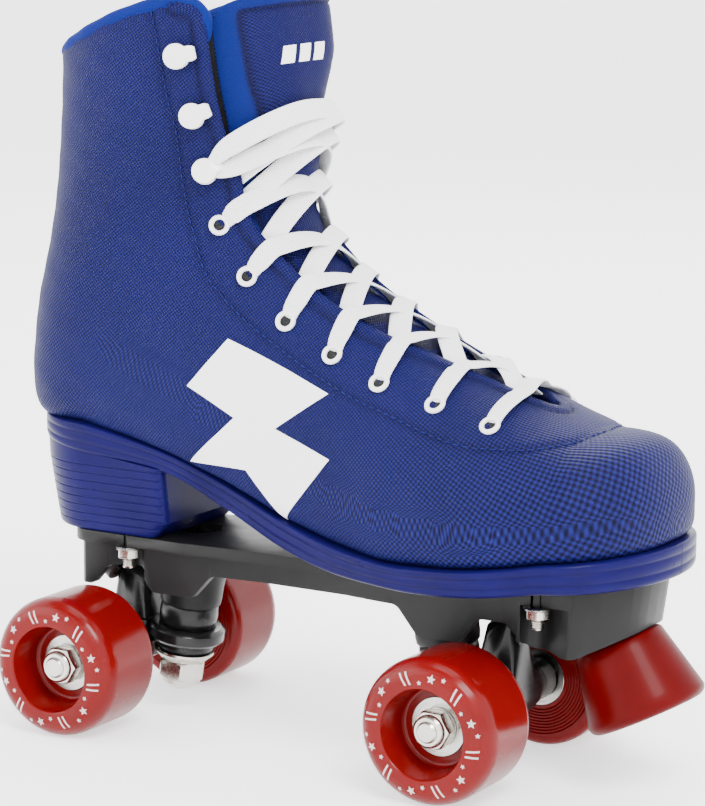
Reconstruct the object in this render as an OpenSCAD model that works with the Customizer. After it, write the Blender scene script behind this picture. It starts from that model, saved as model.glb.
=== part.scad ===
// Quad roller skate: laced high boot on a nylon plate with two steering trucks.
// +X points to the toe, +Y to the wearer's left, +Z up. The origin is on the floor, under the middle
// of the bounding box. Section drawings below are written from the middle of the wheelbase.

/* [Wheels] */
// Diameter of a wheel
wheel_d = 54; // [52:0.5:55]
// Width of a wheel, along its axle
wheel_w = 34; // [32:0.5:35]
// Distance between the front and the rear axle
wheelbase = 162; // [158:1:166]
// Overall width over the outer faces of a pair of wheels
track_w = 125.5; // [125:0.5:128]
// Depth of the recess in a wheel's outer face
recess_depth = 13; // [12:0.5:14]
// Concentric grooves in a wheel's inner face
groove_count = 9; // [4:1:10]

/* [Bearings] */
// Outside diameter of a ball bearing
bearing_d = 22; // [22:1:22]
// Width of a ball bearing
bearing_w = 7; // [7:1:7]
// Diameter of the axle, which is the bearing's bore
axle_d = 8; // [8:1:8]
// Diameter of a ball
ball_d = 3.968; // [3.9:0.001:4]
// Balls in a bearing
ball_count = 7; // [6:1:7]

/* [Trucks] */
// Lean of a kingpin, its foot towards the axle
kingpin_lean = 8.3; // [6:0.1:10]
// Distance of the hanger's ring inboard of the axle
ring_in = 21.5; // [21:0.1:22]
// Height of the hanger's ring above the axle
ring_up = 5; // [4.5:0.1:5.5]
// Distance of the pivot ball outboard of the axle
pivot_out = 11; // [10:0.5:12]
// Height of the pivot ball above the axle
pivot_up = 33; // [32:0.5:34]
// Diameter of a kingpin
kingpin_d = 10; // [9.6:0.1:10]
// Diameter of an upper cushion
cushion_d = 22.5; // [22:0.5:23]

/* [Plate and toe stop] */
// Height of the plate's top face above the floor
plate_top = 74; // [74:0.5:75]
// Thickness of the plate's flange
flange_t = 4.5; // [4:0.1:5]
// Angle between the toe stop's axis and the vertical
toe_stop_tilt = 27.2; // [25:1:29]
// Diameter of the toe stop's floor face
toe_stop_d = 45; // [42:1:45]
// Height of the toe stop
toe_stop_h = 29; // [27:1:30]

/* [Boot] */
// Thickness of the boot's wall
wall_t = 4; // [3.5:0.1:4.5]
// Thickness of the footbed
footbed_t = 4; // [3:0.5:5]
// How far the tongue's pad stands inside the boot
tongue_depth = 8.5; // [8:0.1:9.5]
// Width of the lace
lace_w = 7; // [6:0.5:8]
// Thickness of the lace
lace_t = 1.2; // [1:0.1:1.4]

/* [Hidden] */
$fn = 48;
ENDS = ["front", "rear"];
SIDES = ["left", "right"];
CORNERS = [for (e = ENDS, s = SIDES) str(e, "_", s)];

// The bounding box runs from the back of the boot to the front of the toe stop
middle_x = -17.56;
axle_z = wheel_d / 2;
wheel_in = track_w / 2 - wheel_w;
bearing_out = wheel_w - recess_depth;
fit = 0.02;
gap = 0.3;
far = 200;

// ---------------------------------------------------------------- placing
module from_middle() translate([middle_x, 0, 0]) children();

module at_truck(end)
    from_middle()
        mirror([end == "rear" ? 1 : 0, 0, 0])
            translate([wheelbase / 2, 0, axle_z]) children();

module on_kingpin() translate([-ring_in, 0, ring_up]) rotate([0, -kingpin_lean, 0]) children();

steer_tilt = atan2(ring_in + pivot_out, pivot_up - ring_up);
module on_steer_axis() translate([pivot_out, 0, pivot_up]) rotate([0, steer_tilt, 0]) children();

// Local +Z runs outward along the axle, from the wheel's inner face
module at_wheel(end, side)
    at_truck(end)
        mirror([0, side == "right" ? 1 : 0, 0])
            translate([0, wheel_in, 0]) rotate([-90, 0, 0]) children();

module both_wheels(end) {
    at_wheel(end, "left") children();
    at_wheel(end, "right") children();
}

module hex_prism(across, h) cylinder(h = h, r = across / 2 / cos(30), $fn = 6);

// ---------------------------------------------------------------- wheels and bearings
tread_edge = 4;
face_r = 20;
recess_r = 16.5;
recess_floor_r = 15;
shoulder_d = 8;
hub_bore_r = 9.3;
groove_in_r = 12.6;
groove_pitch = 1.15;
groove_d = 0.45;

function arc(cx, cy, rx, ry, a0, a1, n) =
    [for (i = [0:n]) let (a = a0 + (a1 - a0) * i / n) [cx + rx * cos(a), cy + ry * sin(a)]];

module wheel_profile() {
    r = wheel_d / 2;
    grooves = [for (i = [0:groove_count - 1]) let (g = groove_in_r + i * groove_pitch)
        each [[g - 0.35, 0], [g, groove_d], [g + 0.35, 0]]];
    seat = bearing_d / 2 + fit;
    polygon(concat(
        [[seat, 0]], grooves,
        arc(r - tread_edge, tread_edge, tread_edge, tread_edge, -90, 0, 6),
        arc(face_r, wheel_w - shoulder_d, r - face_r, shoulder_d, 0, 90, 10),
        arc(recess_r + 0.8, wheel_w - 0.8, 0.8, 0.8, 90, 180, 3),
        arc(recess_floor_r - 1.5, bearing_out + 1, 1.5, 1.5, 0, -90, 3),
        [[seat, bearing_out - 0.5], [seat, bearing_out - bearing_w], [hub_bore_r, bearing_out - bearing_w],
         [hub_bore_r, bearing_w], [seat, bearing_w]]));
}

module wheel(end, side) color("crimson") at_wheel(end, side) rotate_extrude($fn = 96) wheel_profile();

ball_pitch_r = 7.5;
race_r = ball_d / 2 + 0.05;
shield_t = 0.3;

module ball_groove() translate([0, 0, bearing_w / 2])
    rotate_extrude() translate([ball_pitch_r, 0]) circle(r = race_r);

module outer_ring() {
    difference() {
        rotate_extrude()
            polygon([[bearing_d / 2, 0.3], [bearing_d / 2 - 0.3, 0], [9.5, 0], [9.5, 0.3], [6.4, 0.3],
                     [6.4, 0.3 + shield_t], [9, 0.3 + shield_t], [9, bearing_w - 0.3 - shield_t],
                     [6.4, bearing_w - 0.3 - shield_t], [6.4, bearing_w - 0.3], [9.5, bearing_w - 0.3],
                     [9.5, bearing_w], [bearing_d / 2 - 0.3, bearing_w], [bearing_d / 2, bearing_w - 0.3]]);
        ball_groove();
    }
}

module inner_ring() {
    difference() {
        cylinder(h = bearing_w, r = 6.05);
        translate([0, 0, -1]) cylinder(h = bearing_w + 2, r = axle_d / 2);
        ball_groove();
    }
}

module ball_set() {
    for (i = [0:ball_count - 1]) rotate(i * 360 / ball_count)
        translate([ball_pitch_r, 0, bearing_w / 2]) sphere(d = ball_d);
    difference() {
        translate([0, 0, 1.2]) cylinder(h = bearing_w - 2.4, r = 7.95);
        translate([0, 0, 1]) cylinder(h = bearing_w, r = 7.05);
        for (i = [0:ball_count - 1]) rotate(i * 360 / ball_count)
            translate([5, 0, bearing_w / 2]) rotate([0, 90, 0]) cylinder(h = 5, r = race_r);
    }
}

// The two bearings of a wheel: one at its inner face, one behind its recess
module bearing_pair() {
    children();
    translate([0, 0, bearing_out - bearing_w]) children();
}

module bearing_outer_rings(end, side) color("silver") at_wheel(end, side) bearing_pair() outer_ring();
module bearing_balls(end, side) color("gainsboro") at_wheel(end, side) bearing_pair() ball_set();
module bearing_inner_rings(end) color("silver") both_wheels(end) bearing_pair() inner_ring();

module bearing_spacers(end) color("silver") both_wheels(end) difference() {
    translate([0, 0, bearing_w]) cylinder(h = bearing_out - 2 * bearing_w, r = 5.8);
    cylinder(h = far, r = axle_d / 2);
}

// ---------------------------------------------------------------- axle hardware
axle_washer_t = 1;
axle_nut_h = 7.6;
axle_end = wheel_w - 3.4;

module axle(end) color("silver") at_truck(end) rotate([90, 0, 0]) rotate_extrude()
    polygon([[0, -wheel_in - axle_end], [axle_d / 2 - 0.7, -wheel_in - axle_end],
             [axle_d / 2 - fit, 0.7 - wheel_in - axle_end], [axle_d / 2 - fit, wheel_in + axle_end - 0.7],
             [axle_d / 2 - 0.7, wheel_in + axle_end], [0, wheel_in + axle_end]]);

module axle_washers(end) color("silver") both_wheels(end) translate([0, 0, bearing_out]) difference() {
    cylinder(h = axle_washer_t, r = 7.2);
    translate([0, 0, -1]) cylinder(h = 4, r = axle_d / 2);
}

// Hexagon lock nut with a round collar; chamfered corners come from a turned blank
module lock_nut(across, h, collar_r, collar_h, bore_r) difference() {
    union() {
        intersection() {
            hex_prism(across, h - collar_h);
            rotate_extrude() polygon([[0, 0], [across / 2, 0], [across / 2 + 1.2, 0.8],
                                      [across / 2 + 1.2, h - collar_h - 0.8],
                                      [across / 2, h - collar_h], [0, h - collar_h]]);
        }
        translate([0, 0, h - collar_h - 0.5]) rotate_extrude()
            polygon([[0, 0], [collar_r, 0], [collar_r, collar_h - 0.5], [collar_r - 1, collar_h + 0.5],
                     [0, collar_h + 0.5]]);
    }
    translate([0, 0, -1]) cylinder(h = h + 2, r = bore_r);
}

module axle_nuts(end) color("silver") both_wheels(end)
    translate([0, 0, bearing_out + axle_washer_t]) lock_nut(13, axle_nut_h, 6.1, 2.2, axle_d / 2);

// ---------------------------------------------------------------- truck
ring_r = 15;
ring_h = 6.5;
ring_hole_r = 8;
barrel_mid_r = 9.5;
barrel_end_r = 8;
barrel_end = wheel_in - 0.8;
pin_r = 4.5;
pin_clearance = 0.06;

module hanger_ring() rotate_extrude()
    polygon([[ring_hole_r, -ring_h / 2], [ring_r - 1.5, -ring_h / 2], [ring_r, 1.5 - ring_h / 2],
             [ring_r, ring_h / 2 - 1.5], [ring_r - 1.5, ring_h / 2], [ring_hole_r, ring_h / 2]]);

module hanger_barrel() rotate([90, 0, 0]) rotate_extrude()
    polygon([[0, -wheel_in], [5.9, -wheel_in], [5.9, -barrel_end],
             [barrel_end_r, -barrel_end], [barrel_end_r, -20], [barrel_mid_r, -12],
             [barrel_mid_r, 12], [barrel_end_r, 20], [barrel_end_r, barrel_end],
             [5.9, barrel_end], [5.9, wheel_in], [0, wheel_in]]);

module hanger_web() hull() {
    rotate([90, 0, 0]) cylinder(h = 26, r = 8.5, center = true, $fn = 32);
    on_kingpin() translate([12.2, -11, -2.8]) cube([1.5, 22, 5.6]);
}

module hanger_arm() hull() {
    rotate([90, 0, 0]) cylinder(h = 18, r = 9, center = true, $fn = 32);
    on_steer_axis() translate([0, 0, -17]) cylinder(h = 9, r = 6.5, $fn = 32);
}

module hanger(end) color("#1c1c1e") at_truck(end) difference() {
    union() {
        on_kingpin() hanger_ring();
        hanger_barrel();
        hanger_web();
        hanger_arm();
        on_steer_axis() rotate_extrude()
            polygon(concat([[0, -12], [pin_r, -12]], arc(0, 0, pin_r, pin_r, 0, 90, 8)));
    }
    rotate([90, 0, 0]) cylinder(h = far, r = axle_d / 2, center = true);
    on_kingpin() translate([0, 0, washer_foot - 4]) cylinder(h = washer_room_h, r = washer_room_r);
}

kingpin_foot = -23;
kingpin_head = 35;
kingpin_head_h = 5;
boss_foot = 12.2;
washer_foot = -11.1;
// Scallop in the hanger that the cup washer swings in
washer_room_r = 13;
washer_room_h = 8.5;

module kingpin(end) color("silver") at_truck(end) on_kingpin() {
    rotate_extrude() polygon([[0, kingpin_foot], [kingpin_d / 2 - 1, kingpin_foot],
                              [kingpin_d / 2 - fit, kingpin_foot + 1],
                              [kingpin_d / 2 - fit, kingpin_head], [0, kingpin_head]]);
    translate([0, 0, kingpin_head]) hex_prism(17, kingpin_head_h);
}

module kingpin_nut(end) color("silver") at_truck(end) on_kingpin()
    translate([0, 0, washer_foot]) mirror([0, 0, 1]) lock_nut(17, 10.3, 7.8, 2.8, kingpin_d / 2);

module cup_washer(end) color("silver") at_truck(end) on_kingpin() rotate_extrude()
    polygon([[kingpin_d / 2 + 0.05, washer_foot], [9, washer_foot], [11.8, -8.2], [11.8, -7.2],
             [11, -7.2], [8.9, -9.9],
             [kingpin_d / 2 + 0.05, -9.9]]);

module upper_cushion(end) color("#202022") at_truck(end) on_kingpin() difference() {
    translate([0, 0, ring_h / 2]) cylinder(h = boss_foot - ring_h / 2, r = cushion_d / 2);
    cylinder(h = far, r = kingpin_d / 2 + 0.1);
}

module lower_cushion(end) color("#202022") at_truck(end) on_kingpin() rotate_extrude()
    polygon([[kingpin_d / 2 + 0.1, -9.85], [8.6, -9.85], [10.7, -7], [11.2, -6], [11.2, -ring_h / 2],
             [kingpin_d / 2 + 0.1, -ring_h / 2]]);

cup_r = 7.5;
cup_foot = -5;
cup_top = 7;

module pivot_cup(end) color("dimgray") at_truck(end) on_steer_axis() difference() {
    translate([0, 0, cup_foot]) cylinder(h = cup_top - cup_foot, r = cup_r - fit);
    translate([0, 0, cup_foot - 1]) cylinder(h = 6.2 - cup_foot, r = pin_r + pin_clearance);
}

// ---------------------------------------------------------------- plate
flange_edge = concat([for (a = [10:10:80]) [-88 - 14.5 * cos(a), 27 * sin(a)]],
                     [[-88, 27], [-45, 27], [-12, 23.5], [25, 23.5], [60, 28], [100, 29.5]],
                     [for (a = [90:-10:0]) [118 + 30.5 * pow(cos(a), 0.8), 28.5 * pow(sin(a), 0.8)]]);
function both_sides(half) =
    concat([for (p = half) [p[0], -p[1]]], [for (i = [len(half) - 1:-1:0]) half[i]]);

module flange_outline(inset = 0)
    offset(delta = -inset) offset(r = 6, $fn = 32) offset(delta = -6) polygon(both_sides(flange_edge));

// Side view of the plate's skirt, from the heel's foot to the nose
skirt_side = [[-102, 71], [-99, 52], [-88, 52], [-80.5, 60.5], [-67.5, 60.5], [-60, 52], [-42, 52],
              [-33, 61.8], [48, 61.8], [57, 51], [74, 51], [82, 61], [94, 61], [103, 52.5], [115, 51],
              [121.5, 51.7], [145.5, 64.1], [149.5, 80], [130, 79.3], [118, 78.8], [104, 76.6], [90, 74.8],
              [80, 73.9], [80, 71]];
nose_taper = 0.938;
channel_x = -94;
channel_y = 19.5;
skirt_y = 23.2;
nose_x = 110;
bolt_places = [[-70, 24.5], [107, 25]];

module side_view(points, half_w) rotate([90, 0, 0])
    linear_extrude(height = 2 * half_w, center = true)
        offset(r = 3, $fn = 32) offset(r = -8, $fn = 48) offset(delta = 5) polygon(points);

module skirt() intersection() {
    side_view(skirt_side, 40);
    translate([0, 0, 40]) {
        linear_extrude(height = 60) intersection() {
            flange_outline(2.5);
            translate([-far, -skirt_y]) square([far + 104, 2 * skirt_y]);
        }
        linear_extrude(height = 60, scale = 2 - nose_taper) scale(nose_taper) intersection() {
            flange_outline(1.5);
            translate([104, -far]) square([far, 2 * far]);
        }
    }
}

// Walls that pass behind the nuts, and the pockets that leave room for a wrench
nut_room = 6.4;
module nut_screens() intersection() {
    side_view(skirt_side, skirt_y);
    for (b = bolt_places, s = [-1, 1]) translate([b[0], s * b[1], 30]) cylinder(h = far, r = nut_room + 2.2);
}

module nut_pockets() for (b = bolt_places, s = [-1, 1]) translate([0, 0, 30]) hull() {
    translate([b[0], s * b[1], 0]) cylinder(h = plate_top - flange_t - 30, r = nut_room);
    translate([b[0] + sign(b[0]) * 20, s * (b[1] + 7), 0]) cylinder(h = plate_top - flange_t - 30, r = 1);
}

module channel() translate([channel_x, -channel_y, 30])
    cube([nose_x - channel_x, 2 * channel_y, plate_top - flange_t - 30]);

module kingpin_boss() rotate_extrude()
    polygon(concat([[0, boss_foot], [11.4, boss_foot], [12, boss_foot + 0.6]],
                   [for (i = [0:8]) let (t = i / 8) [12.3 + 9 * t * t * t, boss_foot + 3 + 21 * t]],
                   [[0, boss_foot + 24]]));

module pivot_housing() {
    translate([0, 0, -6]) cylinder(h = 15, r = cup_r + 2.3);
}

module plate_body() difference() {
    union() {
        translate([0, 0, plate_top - flange_t]) linear_extrude(height = flange_t)
            intersection() {
                flange_outline();
                translate([-far, -far]) square([far + 80, 2 * far]);
            }
        difference() {
            skirt();
            channel();
        }
        nut_screens();
        for (x = [-16, 16]) translate([x - 1.5, -channel_y - 1, 63]) cube([3, 2 * channel_y + 2, 8]);
    }
    nut_pockets();
    for (b = bolt_places, s = [-1, 1]) translate([b[0], s * b[1], 0]) cylinder(h = far, r = 2.6);
}

module plate() color("#2b2b2d") difference() {
    union() {
        from_middle() plate_body();
        for (end = ENDS) at_truck(end) {
            intersection() {
                on_kingpin() kingpin_boss();
                translate([-far / 2, -skirt_y, 0]) cube([far, 2 * skirt_y, plate_top - axle_z - 1]);
            }
            intersection() {
                union() {
                    on_steer_axis() pivot_housing();
                    translate([4, -8, pivot_up + 3]) cube([18, 16, 8]);
                }
                translate([-far / 2, -far / 2, 0]) cube([far, far, plate_top - axle_z - 1]);
            }
        }
    }
    for (end = ENDS) at_truck(end) {
        on_kingpin() cylinder(h = far, r = kingpin_d / 2);
        on_kingpin() translate([0, 0, kingpin_head]) hex_prism(17.2, 30);
        on_steer_axis() translate([0, 0, -20]) cylinder(h = 20 + cup_top, r = cup_r);
    }
    on_toe_stop() translate([0, 0, -20]) cylinder(h = 34, r = toe_bolt_r + 0.1);
    on_toe_stop() translate([0, 0, 6]) hex_prism(13.2, 30);
}

bolt_r = 2.5;
module plate_bolts() color("silver") from_middle()
    for (b = bolt_places, s = [-1, 1])
        translate([b[0], s * b[1], 61]) cylinder(h = plate_top - 61, r = bolt_r);

module plate_nuts() color("silver") from_middle() for (b = bolt_places, s = [-1, 1])
    translate([b[0], s * b[1], plate_top - flange_t - 4.6]) difference() {
        union() {
            hex_prism(8, 4.6);
            translate([0, 0, 3.6]) cylinder(h = 1, r = 5.2);
        }
        translate([0, 0, -1]) cylinder(h = 10, r = bolt_r);
    }

// ---------------------------------------------------------------- toe stop
toe_stop_seat = [127.3, 54.4];
toe_bolt_r = 4;
toe_head_depth = 12;

// Local +Z runs up, out of the toe stop and into the plate's nose
module on_toe_stop() from_middle()
    translate([toe_stop_seat[0], 0, toe_stop_seat[1]]) rotate([0, -toe_stop_tilt, 0]) children();

module toe_stop() color("firebrick") on_toe_stop() difference() {
    rotate_extrude($fn = 96) polygon(concat(
        [[0, -toe_stop_h]],
        arc(toe_stop_d / 2 - 3.5, -toe_stop_h + 3.5, 3.5, 3.5, -90, 0, 5),
        [[16.5, -1], [15.5, 0], [0, 0]]));
    translate([0, 0, -far / 2]) cylinder(h = far, r = toe_bolt_r + 0.05);
    translate([0, 0, -toe_stop_h - 1]) cylinder(h = toe_head_depth + 1, r = 8);
}

module toe_stop_bolt() color("silver") on_toe_stop() {
    translate([0, 0, -toe_stop_h + toe_head_depth - 5.3]) hex_prism(13, 5.3);
    translate([0, 0, -toe_stop_h + toe_head_depth])
        cylinder(h = toe_stop_h - toe_head_depth + 12.5, r = toe_bolt_r);
}

module toe_stop_nut() color("silver") on_toe_stop() translate([0, 0, 6]) difference() {
    hex_prism(13, 6.5);
    translate([0, 0, -1]) cylinder(h = 10, r = toe_bolt_r + fit);
}

// ---------------------------------------------------------------- boot surface
// A row is one section of the boot: [bottom x, bottom z, top x, top z, half width, shift in Y,
// height of the widest point, squareness below it, squareness above it]. Rows run from the toe cap,
// under the foot, round the heel and up to the collar.
rows = [
    [118, 88, 118, 131, 45.5, 0, 0.33, 7, 2.2],
    [90, 83.5, 90, 142.5, 49, -1, 0.29, 7.5, 2],
    [55, 81.5, 58, 156.5, 45.8, -2, 0.27, 7.5, 2],
    [30, 84.5, 39, 168, 41.2, -1.5, 0.27, 7.2, 2],
    [6, 90, 24.5, 179.5, 37.7, -1, 0.27, 7, 2],
    [-22, 99.5, 14, 190.5, 35.5, 0, 0.28, 6.6, 2],
    [-55, 109, 7, 202.5, 35, 0, 0.3, 6.2, 2],
    [-88, 114.5, 3, 212, 34.5, 0, 0.33, 5.2, 2],
    [-109, 115, 1.5, 218.5, 34.2, 0, 0.36, 4, 2],
    [-120, 119.5, 0.8, 223.5, 34.2, 0, 0.38, 2.9, 2],
    [-124, 133, 0.2, 229, 34.5, 0, 0.4, 2.4, 2],
    [-123, 156, -0.6, 236, 35.3, 0, 0.42, 2.15, 2.05],
    [-117.6, 182, -1.8, 244, 36.5, 0, 0.44, 2, 2.1],
    [-112.5, 212, -2.7, 256, 38, 0, 0.46, 2, 2.1],
    [-110.2, 242, -4.3, 269, 39, 0, 0.46, 2, 2.1],
    [-109.7, 256, -5, 277, 39, 0, 0.46, 2, 2.1]];
collar = len(rows) - 1;
// Where the throat's edge runs at each row: 0 is the middle of the bottom, 1 the middle of the top
throat = [0.995, 0.96, 0.91, 0.855, 0.82, 0.795, 0.778, 0.77, 0.768, 0.766, 0.764, 0.748, 0.724, 0.7,
          0.688, 0.68];
throat_start = 0.6;
toe_len = 31;
toe_mid_z = 98;
toe_rise = 33;
toe_slope = 0.03;
collar_rise = 9.5;
rise_from = 11.5;

// Catmull-Rom value at u through a list of numbers or vectors
function spline(list, u) =
    let (last = len(list) - 1, i = min(floor(u), last - 1), f = u - i,
         p1 = list[i], p2 = list[i + 1],
         p0 = i > 0 ? list[i - 1] : 2 * p1 - p2,
         p3 = i + 2 <= last ? list[i + 2] : 2 * p2 - p1)
    0.5 * (2 * p1 + (p2 - p0) * f + (2 * p0 - 5 * p1 + 4 * p2 - p3) * f * f
           + (3 * p1 - p0 - 3 * p2 + p3) * f * f * f);

// Ahead of the first row the toe cap closes on an ellipse; t runs from 0 to 1 at the tip
function toe_row(t) =
    let (first = rows[0], top_close = sqrt(1 - pow(t, 3.6)), low_close = sqrt(1 - pow(t, 6)))
    [first[0] + toe_len * t, toe_mid_z - (toe_mid_z - first[1] - 3 * t) * low_close,
     first[0] + toe_len * t, toe_mid_z + (toe_rise - toe_slope * toe_len * t) * top_close,
     max(first[4] * sqrt(1 - pow(t, 1.9)), 0.01), 3 * t, 0.33 + 0.12 * t, 7 - 3.4 * t * t, 2.2];
function boot_row(u) = u < 0 ? toe_row(-u) : spline(rows, u);

// A point of the boot's surface: u along the rows, a round the section from -1 to 1
function boot_point(u, a, inset = 0) =
    let (r = boot_row(u), dx = r[2] - r[0], dz = r[3] - r[1], full = sqrt(dx * dx + dz * dz),
         low = 180 * min(abs(a), 0.5), high = 180 * max(abs(a) - 0.5, 0),
         w = max(r[4] - inset, 0.2), below = abs(a) <= 0.5,
         s = below ? r[6] * (1 - pow(cos(low), 2 / r[7])) : r[6] + (1 - r[6]) * pow(sin(high), 2 / r[8]),
         y = below ? w * pow(sin(low), 2 / r[7]) : w * pow(max(cos(high), 0), 2 / r[8]),
         q = inset + s * max(full - 2 * inset, 0.5),
         rise = collar_rise * pow(max((u - rise_from) / (collar - rise_from), 0), 2)
                * sin(180 * pow(s, 1.35)))
    [r[0] + dx / full * q - (u < 0 ? -u * inset : 0), sign(a) * y + r[5], r[1] + dz / full * q + rise];

// ---------------------------------------------------------------- lofting
// Solid between an outer and an inner grid of points; ring: the grids close on themselves sideways
module thick_skin(outer, inner, ring = false) {
    nu = len(outer);
    nv = len(outer[0]);
    n = nu * nv;
    last = ring ? nv - 1 : nv - 2;
    outer_faces = [for (i = [0:nu - 2], j = [0:last]) let (k = (j + 1) % nv)
        each [[i * nv + j, i * nv + k, (i + 1) * nv + k], [i * nv + j, (i + 1) * nv + k, (i + 1) * nv + j]]];
    inner_faces = [for (f = outer_faces) [f[0] + n, f[2] + n, f[1] + n]];
    end_rim = [for (j = [0:last]) let (k = (j + 1) % nv, b = (nu - 1) * nv)
        each [[b + j, b + k, n + b + k], [b + j, n + b + k, n + b + j]]];
    start_rim = ring
        ? concat([[for (j = [nv - 1:-1:0]) j]], [[for (j = [0:nv - 1]) n + j]])
        : [for (j = [0:last]) each [[j, n + j + 1, j + 1], [j, n + j, n + j + 1]]];
    side_rims = ring ? [] : [for (i = [0:nu - 2]) let (b = i * nv, c = (i + 1) * nv)
        each [[b, c, n + c], [b, n + c, n + b],
              [b + nv - 1, n + c + nv - 1, c + nv - 1], [b + nv - 1, n + b + nv - 1, n + c + nv - 1]]];
    points = concat([for (row = outer) each row], [for (row = inner) each row]);
    polyhedron(points, concat(outer_faces, inner_faces, end_rim, start_rim, side_rims));
}

// Solid through a list of convex rings, closed by a flat face at each end
module loft(rings) {
    nv = len(rings[0]);
    nu = len(rings);
    sides = [for (i = [0:nu - 2], j = [0:nv - 1]) let (k = (j + 1) % nv)
        each [[i * nv + j, (i + 1) * nv + k, i * nv + k], [i * nv + j, (i + 1) * nv + j, (i + 1) * nv + k]]];
    polyhedron([for (r = rings) each r],
               concat(sides, [[for (j = [0:nv - 1]) j]], [[for (j = [nv - 1:-1:0]) (nu - 1) * nv + j]]));
}

// ---------------------------------------------------------------- boot upper
vamp_steps = [-0.995, -0.95, -0.86, -0.72, -0.54, -0.35, -0.17, 0, 0.3, throat_start];
section_steps = 30;
function ring_shares() = [for (j = [0:section_steps - 1]) -1 + 2 * j / section_steps];

module vamp() color("royalblue") from_middle() thick_skin(
    [for (u = vamp_steps) [for (a = ring_shares()) boot_point(u, a)]],
    [for (u = vamp_steps) [for (a = ring_shares()) boot_point(u, a, wall_t)]], ring = true);

quarter_steps = 36;
quarter_shares = 26;
function throat_edge(u) =
    let (open = min((u - throat_start) / 0.35, 1))
    1 - (1 - spline(throat, u)) * sqrt(max(open * (2 - open), 0.04));
function quarter_grid(inset) = [for (i = [0:quarter_steps])
    let (u = throat_start + (collar - throat_start) * i / quarter_steps, edge = throat_edge(u))
    [for (j = [0:quarter_shares]) boot_point(u, edge * (2 * j / quarter_shares - 1), inset)]];

module quarters() color("royalblue") from_middle() thick_skin(quarter_grid(0), quarter_grid(wall_t));

// ---------------------------------------------------------------- tongue
tongue_from = 1.2;
tongue_to = 14.8;
tongue_steps = 30;
tongue_shares = 12;
tongue_lap = 0.06;
tongue_clear = 0.6;
tongue_puff = 7;
// The tongue swells up into the throat between its edges and lies under the quarters beyond them
function tongue_sink(a, edge, puff) =
    let (t = min(max((abs(a) - edge) / 0.05, 0), 1)) (wall_t + tongue_clear) * (1 - t) + (1.5 - puff) * t;
function tongue_swell(u) = let (t = min(max((u - 10.6) / 3, 0), 1)) t * t * (3 - 2 * t);
function tongue_share(edge, j) =
    let (lap = edge - tongue_lap, way = (2 * j / tongue_shares - 1) * (1 - lap)) way < 0 ? -1 - way : 1 - way;
function tongue_grid(under) = [for (i = [0:tongue_steps])
    let (u = tongue_from + (tongue_to - tongue_from) * i / tongue_steps, edge = throat_edge(u))
    [for (j = [0:tongue_shares]) let (a = -tongue_share(edge, j))
        boot_point(u, a, under ? tongue_depth : tongue_sink(a, edge, tongue_puff * tongue_swell(u)))]];

module tongue() color("mediumblue") from_middle() thick_skin(tongue_grid(true), tongue_grid(false));

// ---------------------------------------------------------------- sole, heel and footbed
// Plan of the sole: [x, half width, shift in Y, top z, bottom z]
sole_plan = [[-87, 32, 0, 114, 105.6], [-50, 31, 0, 107.2, 101.6], [-22, 32, 0, 98.8, 91],
             [6, 36.5, -1, 89.4, 80.6], [30, 42, -1.5, 84, 75.6], [55, 46.5, -2, 81.2, 74.1],
             [72, 49, -1.5, 81.6, 74], [90, 50, -1, 83.1, 75.2], [104, 49.4, 0, 85.2, 77],
             [118, 46.8, 0, 87.8, 79.2]];
sole_heel_r = 32;
sole_toe = 32;
heel_slope = (105.6 - 101.6) / 37;

function heel_ring_at(c) =
    [-87 - sole_heel_r * c, sole_heel_r * sqrt(1 - c * c), 0, 114 + 1.6 * c * c,
     105.6 + heel_slope * sole_heel_r * c];
function toe_ring_at(t) =
    [118 + sole_toe * t, 46.8 * sqrt(1 - pow(t, 1.9)), 3 * t, 87.8 + 3 * t, 79.2 + 1.2 * t];
sole_rings = concat([for (c = [0.99, 0.94, 0.84, 0.68, 0.45, 0.2]) heel_ring_at(c)],
                    sole_plan, [for (t = [0.2, 0.4, 0.6, 0.78, 0.9, 0.97, 0.995]) toe_ring_at(t)]);

function slab_ring(x, w, y, top, foot, edge) =
    [[x, y - w, top], [x, y + w, top], [x, y + w, foot + edge], [x, y + w - edge, foot],
     [x, y - w + edge, foot], [x, y - w, foot + edge]];

module outsole() color("#2636a0") from_middle()
    loft([for (r = sole_rings) slab_ring(r[0], r[1], r[2], r[3] - gap, r[4], min(1.5, r[1] / 3))]);

heel_front = -51;
module heel_outline(inset) {
    n = 24;
    r = sole_heel_r - inset;
    polygon(concat([for (i = [0:n]) let (a = 90 + 180 * i / n) [-87 + r * cos(a), r * sin(a)]],
                   [[heel_front - 4, -r], [heel_front, 4 - r], [heel_front, r - 4], [heel_front - 4, r]]));
}
module heel_block() color("#2636a0") from_middle() difference() {
    hull() {
        translate([0, 0, plate_top]) linear_extrude(height = 0.1) heel_outline(5.4);
        translate([0, 0, plate_top + 4]) linear_extrude(height = 0.1) heel_outline(4.2);
        translate([0, 0, 112]) linear_extrude(height = 0.1) heel_outline(0.6);
    }
    translate([-87, -50, 105.6]) rotate([0, atan(heel_slope), 0]) translate([-60, 0, 0]) cube([120, 100, 30]);
    translate([heel_front, 0, plate_top]) rotate([0, 45, 0]) cube([9, 100, 9], center = true);
}

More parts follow.
